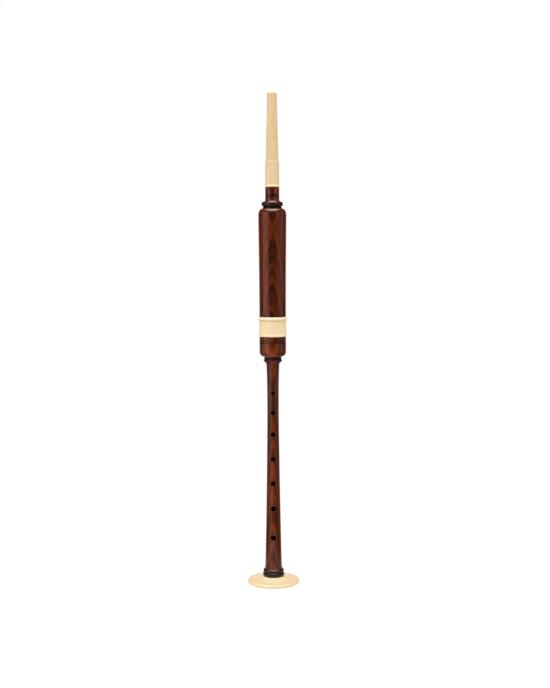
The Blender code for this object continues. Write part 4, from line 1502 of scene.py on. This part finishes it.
@dataclass
class Reed:
    """Moulded double reed. Heights count from the mouth of its seat."""

    mouth: float
    bore: float = 0.0012
    wall: float = 0.0010
    thread: float = 0.0008
    seat_taper: float = 0.0004
    seat_depth: float = 0.0130
    collar_radius: float = 0.0030
    collar_height: float = 0.0025
    thread_proud: float = 0.0014
    neck_height: float = 0.0045
    tongue_length: float = 0.0055
    tongue_half_width: float = 0.0032
    tongue_wall: float = 0.0006
    blade_length: float = 0.0252
    blade_thickness: float = 0.0007
    blade_edge_gap: float = 0.0004
    blade_root: float = 0.0042
    blade_tip: float = 0.0055
    tip_crown: float = 0.00045
    crown_fade: float = 1.3
    band_radius: float = 0.0006
    band_rise: float = 0.0085
    end_clearance: float = 0.0010

    def body_mesh(self) -> bpy.types.Mesh:
        """Moulded tube: each section is an ellipse, from a round base over a collar to an oval tongue."""
        bottom = self.end_clearance / 2 - self.seat_depth
        collar_low = self.thread_proud + GAP
        collar_high = collar_low + self.collar_height
        tongue_low = collar_high + self.neck_height
        tongue_high = tongue_low + self.tongue_length
        staple = self.bore + self.wall
        flat = self.bore + self.tongue_wall
        share = np.linspace(0, 1, 16)
        blend = share * share * (3 - 2 * share)
        edge = 0.0002
        sections = np.vstack([
            [(staple - edge, staple - edge, bottom), (staple, staple, bottom + edge)],
            [(staple, staple, collar_low)],
            [(self.collar_radius - edge, self.collar_radius - edge, collar_low)],
            [(self.collar_radius, self.collar_radius, collar_low + edge)],
            np.column_stack([
                self.collar_radius + (self.tongue_half_width - self.collar_radius) * blend,
                self.collar_radius + (flat - self.collar_radius) * blend,
                collar_high + self.neck_height * share,
            ]),
            [(self.tongue_half_width, flat, tongue_high - edge)],
            [(self.tongue_half_width - edge, flat - edge, tongue_high)],
            [(self.bore, self.bore, tongue_high), (self.bore, self.bore, bottom)],
        ])
        columns = 64
        turn = np.linspace(0, math.tau, columns, endpoint=False)
        points = np.stack([
            sections[:, :1] * np.cos(turn), sections[:, 1:2] * np.sin(turn),
            np.broadcast_to(sections[:, 2:] + self.mouth, (len(sections), columns)),
        ], axis=2)
        quads = ring_faces(len(sections), columns)[..., ::-1]
        return make_mesh("reed_staple", points, quads)

    def blade_low(self) -> float:
        """Height of the foot of the blades."""
        return self.mouth + self.thread_proud + self.collar_height + self.neck_height + 2 * GAP

    def crown(self, share: np.ndarray) -> np.ndarray:
        """How far a blade bulges: over the tongue near its foot, and flatter towards its tip.

        Args:
            share: of the blade's length from its foot.

        Returns:
            The bulge of its inner face.
        """
        over_tongue = self.bore + self.tongue_wall + GAP - self.blade_edge_gap / 2
        grip = self.tongue_length / self.blade_length
        free = np.clip((share - grip) / (1 - grip), 0, 1)
        return self.tip_crown + (over_tongue - self.tip_crown) * (1 - free) ** self.crown_fade

    def blade_mesh(self, name: str, side: float) -> bpy.types.Mesh:
        """One blade as a closed shell over a grid of its width and length.

        Its inner face lies at gap / 2 + crown (1 - w^2) from the middle plane, where w runs from -1
        to 1 across it. The outer face adds a thickness that thins to the tip and rounds off at the
        edges, with a raised line down its middle.

        Args:
            name: of the mesh.
            side: -1 for the front blade and 1 for the back one.

        Returns:
            The mesh.
        """
        along = np.linspace(0, 1, 48)[:, None]
        across = np.sin(np.linspace(-math.pi / 2, math.pi / 2, 33))[None, :]
        half = self.blade_root + (self.blade_tip - self.blade_root) * along
        x = half * across
        z = self.blade_low() + self.blade_length * along + 0.0 * across
        inner = self.blade_edge_gap / 2 + self.crown(along) * (1 - across ** 2)
        spine = 0.12 * np.exp(-(across / 0.12) ** 2) * (1 - along)
        thickness = self.blade_thickness * (1 - 0.45 * along) * (0.88 + spine) * np.sqrt(1.02 - across ** 2)
        outer = inner + thickness
        front = np.stack([x, side * outer, z], axis=2)
        back = np.stack([x, side * inner, z], axis=2)[:, ::-1]
        points = np.concatenate([front, back], axis=1)
        count, columns = points.shape[:2]
        quads = ring_faces(count, columns)[:-1].reshape(-1, 4)
        width = front.shape[1]
        low = np.arange(width - 1)
        cap = np.stack([low, low + 1, columns - 2 - low, columns - 1 - low], axis=1)
        caps = np.vstack([cap, cap[:, ::-1] + (count - 1) * columns])
        quads = np.vstack([quads, caps])
        if side > 0:
            quads = quads[:, ::-1]
        return make_mesh(name, points, quads[:, ::-1])

    def band_mesh(self) -> bpy.types.Mesh:
        """Rubber ring: a round section carried round an ellipse that clears both blades."""
        share = self.band_rise / self.blade_length
        grow = self.blade_thickness + GAP + self.band_radius
        reach_x = self.blade_root + (self.blade_tip - self.blade_root) * share + grow
        reach_y = self.blade_edge_gap / 2 + float(self.crown(np.array(share))) + grow
        around = np.linspace(0, math.tau, 96, endpoint=False)[None, :]
        section = np.linspace(math.pi, -math.pi, 20, endpoint=False)[:, None]
        out = self.band_radius * np.cos(section)
        points = np.stack([
            (reach_x + out) * np.cos(around), (reach_y + out) * np.sin(around),
            self.blade_low() + self.band_rise + self.band_radius * np.sin(section) + 0.0 * around,
        ], axis=2)
        return make_mesh("reed_ring", points, ring_faces(20, 96))

    def build(self, finishes: Finishes) -> None:
        """Make the reed's pieces.

        Args:
            finishes: the materials.
        """
        put("reed_staple", self.body_mesh(), finishes[Slot.REED_PLASTIC], Slot.REED_PLASTIC, Body.REED,
            "reed_body")
        for name, side in (("blade_front", -1.0), ("blade_back", 1.0)):
            put(name, self.blade_mesh(name, side), finishes[Slot.REED_BLADES], Slot.REED_BLADES, Body.REED,
                f"reed_{name}")
        put("reed_ring", self.band_mesh(), finishes[Slot.RUBBER], Slot.RUBBER, Body.REED, "reed_band")
        bottom = self.mouth + self.end_clearance - self.seat_depth
        inner = self.bore + self.wall + GAP
        outer = inner + self.thread
        thread = wound("reed_winding", inner, outer, bottom, self.mouth + self.thread_proud, 0.0004, 64)
        self.taper(thread, bottom)
        put("reed_winding", thread, finishes[Slot.HEMP], Slot.HEMP, Body.REED, "reed_thread")

    def taper(self, mesh: bpy.types.Mesh, bottom: float) -> None:
        """Narrow the winding towards its lower end, as its seat does.

        Args:
            mesh: the winding.
            bottom: height of its lower end.
        """
        points = np.empty(len(mesh.vertices) * 3, np.float32)
        mesh.vertices.foreach_get("co", points)
        points = points.reshape(-1, 3)
        radius = np.hypot(points[:, 0], points[:, 1])
        inner = self.bore + self.wall + GAP
        share = np.clip((self.mouth - points[:, 2]) / (self.mouth - bottom), 0, 1)
        wanted = radius - self.seat_taper * share * np.clip((radius - inner) / self.thread, 0, 1)
        points[:, :2] *= (wanted / radius)[:, None]
        mesh.vertices.foreach_set("co", points.ravel())
        mesh.update()


@dataclass
class Studio:
    """Pale floor, soft boxes and the camera of the photograph's view."""

    focal_pixels: float = 1130.0
    distance: float = 1.130
    camera_height: float = 0.3321
    pitch: float = 4.5
    roll: float = -0.21
    axis_offset: float = 2.2
    sensor: float = 36.0
    fill: float = 0.83
    room: float = 0.03
    window: float = 4.2

    def camera(self) -> None:
        """Place the camera, which looks along +Y and a little down."""
        data = bpy.data.cameras.new("view")
        data.sensor_width = self.sensor
        data.lens = self.focal_pixels / IMAGE_HEIGHT * self.sensor
        made = bpy.data.objects.new("view", data)
        bpy.context.scene.collection.objects.link(made)
        aside = self.axis_offset / self.focal_pixels * self.distance
        made.location = (aside, -self.distance, self.camera_height)
        turn = Euler((math.radians(90 - self.pitch), 0.0, 0.0)).to_matrix()
        lean = Euler((0.0, 0.0, math.radians(self.roll))).to_matrix()
        made.rotation_euler = (turn @ lean).to_euler()
        bpy.context.scene.camera = made

    def soft_box(self, name: str, place: Colour, aim: Colour, size: tuple[float, float],
                 power: float) -> None:
        """One rectangular area lamp.

        Args:
            name: of the lamp.
            place: where it stands.
            aim: the point that it faces.
            size: its width and height.
            power: in watts.
        """
        data = bpy.data.lights.new(name, "AREA")
        data.shape = "RECTANGLE"
        data.size, data.size_y = size
        data.energy = power
        lamp = bpy.data.objects.new(name, data)
        bpy.context.scene.collection.objects.link(lamp)
        lamp.location = place
        lamp.rotation_euler = (Vector(aim) - Vector(place)).to_track_quat("-Z", "Y").to_euler()

    def lights(self) -> None:
        """Soft boxes at both sides of the camera and one overhead."""
        middle = (0.0, 0.0, 0.26)
        self.soft_box("left_box", (-1.05, -0.62, 0.36), middle, (1.2, 1.3), 2.9)
        self.soft_box("right_box", (1.10, -0.50, 0.36), middle, (1.5, 1.3), 1.4)
        self.soft_box("top_box", (0.0, -0.25, 1.35), middle, (1.0, 1.0), 6.8)

    def surroundings(self) -> None:
        """A white room: plain for the camera and for scattered light, shaped where the object mirrors it.

        Polished surfaces see a white sheet behind the object, a broad window overhead and a dim
        room on the camera's side.
        """
        world = bpy.data.worlds.new("studio")
        bpy.context.scene.world = world
        graph = Graph(world)
        seen, mirrored = self.rays(graph)
        _, y, z = graph.parts(graph.node("ShaderNodeTexCoord", output="Generated"))
        window = z.fade(0.75, 1.0) * y.fade(0.30, 0.90, 1.0, 0.0) * self.window
        sheet = y.fade(0.75, 0.95) * z.fade(0.15, 0.35, 1.0, 0.0)
        room = (sheet.largest(self.room)).largest(window)
        strength = seen + (1.0 - seen) * (mirrored * (room - self.fill) + self.fill)
        back = graph.node("ShaderNodeBackground", None, {"Color": (1.0, 1.0, 1.0, 1.0), "Strength": strength})
        graph.add("ShaderNodeOutputWorld", None, {"Surface": back})

    @staticmethod
    def rays(graph: Graph) -> tuple[Wire, Wire]:
        """Which rays a backdrop shows itself to.

        Args:
            graph: the graph of the backdrop's material or of the world.

        Returns:
            1 for the camera's own rays, and 1 for mirrored and refracted ones.
        """
        path = graph.add("ShaderNodeLightPath")
        mirrored = Wire(graph, path.outputs["Is Glossy Ray"])
        refracted = Wire(graph, path.outputs["Is Transmission Ray"])
        return Wire(graph, path.outputs["Is Camera Ray"]), mirrored.largest(refracted)

    def floor(self) -> None:
        """A pale floor that shows white and keeps a faint shadow. To mirrored rays it glows, with no lamp
        there: behind the object, in a strip in front of it and in a patch to its left, which the polished
        wood shows as highlights.
        """
        reach = 60.0
        mesh = bpy.data.meshes.new("floor")
        corners = [(-reach, -reach, 0.0), (reach, -reach, 0.0), (reach, reach, 0.0), (-reach, reach, 0.0)]
        mesh.from_pydata(corners, [], [(0, 1, 2, 3)])
        made = bpy.data.materials.new("floor")
        graph = Graph(made)
        plain = graph.node("ShaderNodeBsdfDiffuse", None, {"Color": (0.90, 0.90, 0.90, 1.0)})
        seen, mirrored = self.rays(graph)
        x, y, _ = graph.parts(graph.place())
        distance = (x ** 2.0 + y ** 2.0) ** 0.5
        away = distance.fade(40.0, 200.0, 0.92, 1.0)
        near = abs(x).fade(50.0, 160.0, 1.0, 0.0) * y.fade(-450.0, -100.0, 0.0, 0.5)
        behind = (y / distance).fade(0.60, 0.95)
        aside = x / distance
        left = aside.fade(-0.95, -0.80) * aside.fade(-0.45, -0.20, 1.0, 0.0)
        left = left * (y / distance).fade(-0.25, 0.0, 0.42, 0.0) * distance.fade(2200.0, 4500.0, 1.0, 0.0)
        bright = seen.largest(behind).largest(near).largest(left).largest(self.room)
        glow = graph.node("ShaderNodeEmission", None, {"Color": bright, "Strength": 1.02})
        share = (seen * away).largest(mirrored)
        mixed = graph.node("ShaderNodeMixShader", None, {0: share, 1: plain, 2: glow})
        graph.add("ShaderNodeOutputMaterial", None, {"Surface": mixed})
        mesh.materials.append(made)
        plane = bpy.data.objects.new("floor", mesh)
        bpy.context.scene.collection.objects.link(plane)

    def build(self) -> None:
        """Make the floor, the light and the camera."""
        settings = bpy.context.scene.view_settings
        settings.view_transform = "Standard"
        self.floor()
        self.surroundings()
        self.lights()
        self.camera()


def make_finishes(lower: LowerSection, upper: UpperSection, tip: float) -> Finishes:
    """Make the material of every slot.

    Args:
        lower: gives the heights of its lines and patches.
        upper: gives the heights of its lines and patches.
        tip: height of the mouthpiece's tip.

    Returns:
        The materials by slot.
    """
    barrel = Growth((0.3, 10.0), 13.7, 0.045, 359.0, 5.0, -12.0, 100.0, (
        (0.0, 0.55), (5.0, 0.12), (10.0, 0.60), (14.0, 0.15), (20.0, 0.85), (25.0, 0.30), (29.0, 0.02),
        (34.0, 0.50), (38.0, 0.10), (45.0, 0.70), (49.0, 0.20), (56.0, 0.80), (61.0, 0.30), (66.0, 0.05),
        (72.0, 0.60), (77.0, 0.20), (84.0, 0.80), (90.0, 0.25), (94.0, 0.02), (100.0, 0.55)))
    tube = Growth((1.0, 13.0), 5.87, 0.036, 192.0, 8.0, -20.0, 150.0, (
        (0.0, 0.50), (16.0, 0.30), (27.0, 0.20), (41.0, 0.65), (55.0, 0.15), (68.0, 0.85), (78.0, 0.45),
        (90.0, 0.20), (102.0, 0.80), (117.0, 0.55), (125.0, 0.10), (138.0, 0.75), (150.0, 0.50)))
    red = {"deep": (0.0270, 0.0055, 0.0018), "body": (0.1000, 0.0160, 0.0026),
           "warm": (0.2000, 0.0330, 0.0035)}
    dark = {"deep": (0.0240, 0.0050, 0.0016), "body": (0.0720, 0.0098, 0.0014),
            "warm": (0.1750, 0.0260, 0.0022)}
    head = (lower.head_low, lower.joint_face)
    upper_patches = (
        # Lighter bands at both sides of the barrel: partly the wood's figure, partly painted sheen of the
        # side lamps.
        Patch(-32.0, 20.0, upper.barrel_low, upper.shoulder_top, 0.24),
        Patch(-58.0, 42.0, upper.barrel_low, upper.shoulder_top, 0.18),
        Patch(52.0, 42.0, upper.barrel_low, upper.shoulder_top, 0.20),
        Patch(0.0, 60.0, upper.barrel_low, upper.barrel_low + 0.004, -0.15),
        Patch(-51.0, 7.0, 0.274, 0.290, -0.45), Patch(54.0, 7.0, 0.270, 0.288, -0.40),
        Patch(54.0, 5.0, 0.319, 0.326, -0.40), Patch(0.0, 24.0, 0.362, 0.374, 0.12),
        # Painted highlight: the barrel's upward-facing shoulder lighter all round, under its mirrored
        # highlight.
        Patch(0.0, 400.0, upper.shoulder_low + 0.004, upper.shoulder_top, 0.20),
        # Painted shade: the lower part of the ring, which faces down, darker all round.
        Patch(0.0, 400.0, upper.ring_low, upper.ring_top - 0.0014, -0.50),
        # Painted highlight: the cove and the ring's top, which face up, lighter all round.
        Patch(0.0, 400.0, upper.ring_top - 0.0006, upper.cove_top + 0.0006, 0.15),
        # Lighter bands at both sides of the neck: partly the wood's figure, partly painted sheen of the side
        # lamps.
        Patch(-32.0, 28.0, upper.cove_top, upper.neck_top, 0.30),
        Patch(32.0, 28.0, upper.cove_top, upper.neck_top, 0.40),
        Patch(0.0, 14.0, upper.cove_top, upper.neck_top, 0.15),
    )
    lower_patches = (
        Patch(-10.0, 34.0, *head, 0.28), Patch(34.0, 16.0, *head, -0.10), Patch(-42.0, 24.0, *head, 0.16),
        Patch(-14.0, 14.0, *head, 0.15),
        Patch(0.0, 60.0, lower.joint_face - 0.0034, lower.joint_face, -0.22),
        # Painted shade: the cone under the collar, which faces down, darker all round.
        Patch(0.0, 400.0, lower.tube_high, lower.cone_top, -0.25),
        Patch(2.0, 26.0, 0.2126, 0.2216, 0.32), Patch(30.0, 15.0, 0.177, 0.191, -0.30),
        Patch(3.0, 12.0, 0.154, 0.161, 0.35), Patch(-7.0, 10.0, 0.080, 0.125, 0.38),
        Patch(-42.0, 16.0, 0.070, 0.200, 0.10), Patch(-27.0, 5.0, 0.070, 0.200, -0.14),
        Patch(-24.0, 30.0, 0.020, 0.100, 0.16), Patch(-70.0, 12.0, 0.021, 0.060, -0.30),
        Patch(28.0, 9.0, 0.058, 0.082, -0.35), Patch(-33.0, 6.0, 0.050, 0.086, -0.20),
        Patch(8.0, 18.0, 0.040, 0.060, 0.26), Patch(2.0, 14.0, 0.017, 0.043, -0.25),
        # Painted shade: the foot's ring, low by the sole, darker all round; the foot's bead is darker all
        # round too.
        Patch(0.0, 400.0, 0.0, lower.foot_groove_top, -0.45),
        Patch(0.0, 400.0, lower.foot_groove_top, lower.tube_low, -0.25),
    )
    painted_highlight = (0.990, 0.900, 0.680)
    under_bead_shade = (0.680, 0.420, 0.174)
    bead_foot = upper.ferrule_top - upper.top_land - upper.top_bead_height
    bead_top = upper.low + upper.low_bead_height
    ivory_bands = (
        # Painted light: the sole's upward-facing dome paler.
        Band(lower.rim_height + 0.0002, lower.sole_high + 0.0005, 0.60, (0.985, 0.768, 0.497)),
        # Painted shade under the ferrule's top bead.
        Band(bead_foot - 0.0010, bead_foot, 0.75, under_bead_shade),
        # Painted highlights on the ferrule's top bead and its low bead.
        Band(upper.ferrule_top - 0.0020, upper.ferrule_top - 0.0006, 0.75, painted_highlight),
        Band(bead_top - 0.0010, bead_top + 0.0002, 0.35, painted_highlight),
    )
    # Painted highlights: light lines on the sleeve's fine turned rings.
    rings = tuple(Band(height - 0.0005, height + 0.0005, 0.14, painted_highlight)
                  for height in np.linspace(upper.sleeve_top - 0.0070, upper.sleeve_top - 0.0175, 6).tolist())
    mouth_bands = (
        Band(upper.sleeve_low, upper.sleeve_top, 0.12, (0.850, 0.680, 0.400)), *rings,
        # Painted highlights on the sleeve's bead and on its lip.
        Band(upper.sleeve_low + 0.0006, upper.sleeve_low + 0.0024, 0.55, painted_highlight),
        Band(upper.sleeve_top - 0.0011, upper.sleeve_top - 0.0001, 0.45, painted_highlight),
        Band(tip - 0.0018, tip + 0.0002, 0.25, (0.578, 0.334, 0.130)),
    )
    made = {
        Slot.LOWER_WOOD: Wood("lower_wood", **red, growth=tube, seed=3.7, roughness=0.12, wander=10.0,
                              handled=(lower.tube_low + 0.004, lower.head_low), handling=0.05,
                              patches=lower_patches, lines=lower.lines(),
                              holes=lower.dark_holes()),
        Slot.UPPER_WOOD: Wood("upper_wood", **dark, growth=barrel, seed=9.1, roughness=0.11, wander=12.0,
                              handled=(upper.shoulder_low - 0.004, upper.neck_top), handling=0.06,
                              patches=upper_patches, lines=upper.lines()),
        Slot.IVORY: Ivory("imitation_ivory", (0.888, 0.692, 0.412), (0.790, 0.550, 0.280), (0.5, 0.5, 0.16),
                          0.20, 0.0, 0.20, 0.40, ivory_bands),
        Slot.MOUTH_IVORY: Ivory("mouthpiece_ivory", (0.785, 0.570, 0.312), (0.680, 0.445, 0.216),
                                (1.3, 1.3, 0.03), 0.55, 1.0, 0.35, 0.33, mouth_bands),
        Slot.HEMP: Hemp("hemp_thread", (0.66, 0.47, 0.21), (0.34, 0.20, 0.075)),
        Slot.REED_PLASTIC: Moulded("reed_plastic", (0.80, 0.74, 0.58), (0.70, 0.62, 0.45), 0.45),
        Slot.REED_BLADES: Moulded("reed_blades", (0.74, 0.60, 0.33), (0.60, 0.45, 0.21), 0.40, 0.4),
        Slot.RUBBER: Moulded("band_rubber", (0.020, 0.020, 0.022), (0.034, 0.033, 0.034), 0.60),
    }
    return Finishes({slot: finish.material() for slot, finish in made.items()})


def main() -> None:
    """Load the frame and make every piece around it."""
    logging.basicConfig(level=logging.INFO)
    for thing in list(bpy.data.objects):
        bpy.data.objects.remove(thing, do_unlink=True)
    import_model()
    sole_low, sole_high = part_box("sole")
    chanter_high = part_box("chanter_body")[1]
    ferrule_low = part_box("barrel_ferrule")[0]
    tube_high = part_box("mouthpiece")[1]
    lower = LowerSection(seat=sole_high.z + GAP, sole_high=sole_high.z, sole_radius=sole_high.x,
                         tenon_top=chanter_high.z)
    upper = UpperSection(low=ferrule_low.z)
    mouthpiece = Mouthpiece(seat=upper.mouth_seat, tip=tube_high.z)
    reed = Reed(mouth=chanter_high.z)
    finishes = make_finishes(lower, upper, mouthpiece.tip)
    for assembly in (lower, upper, mouthpiece, reed):
        assembly.build(finishes)
    Studio().build()


if __name__ == "__main__":
    main()
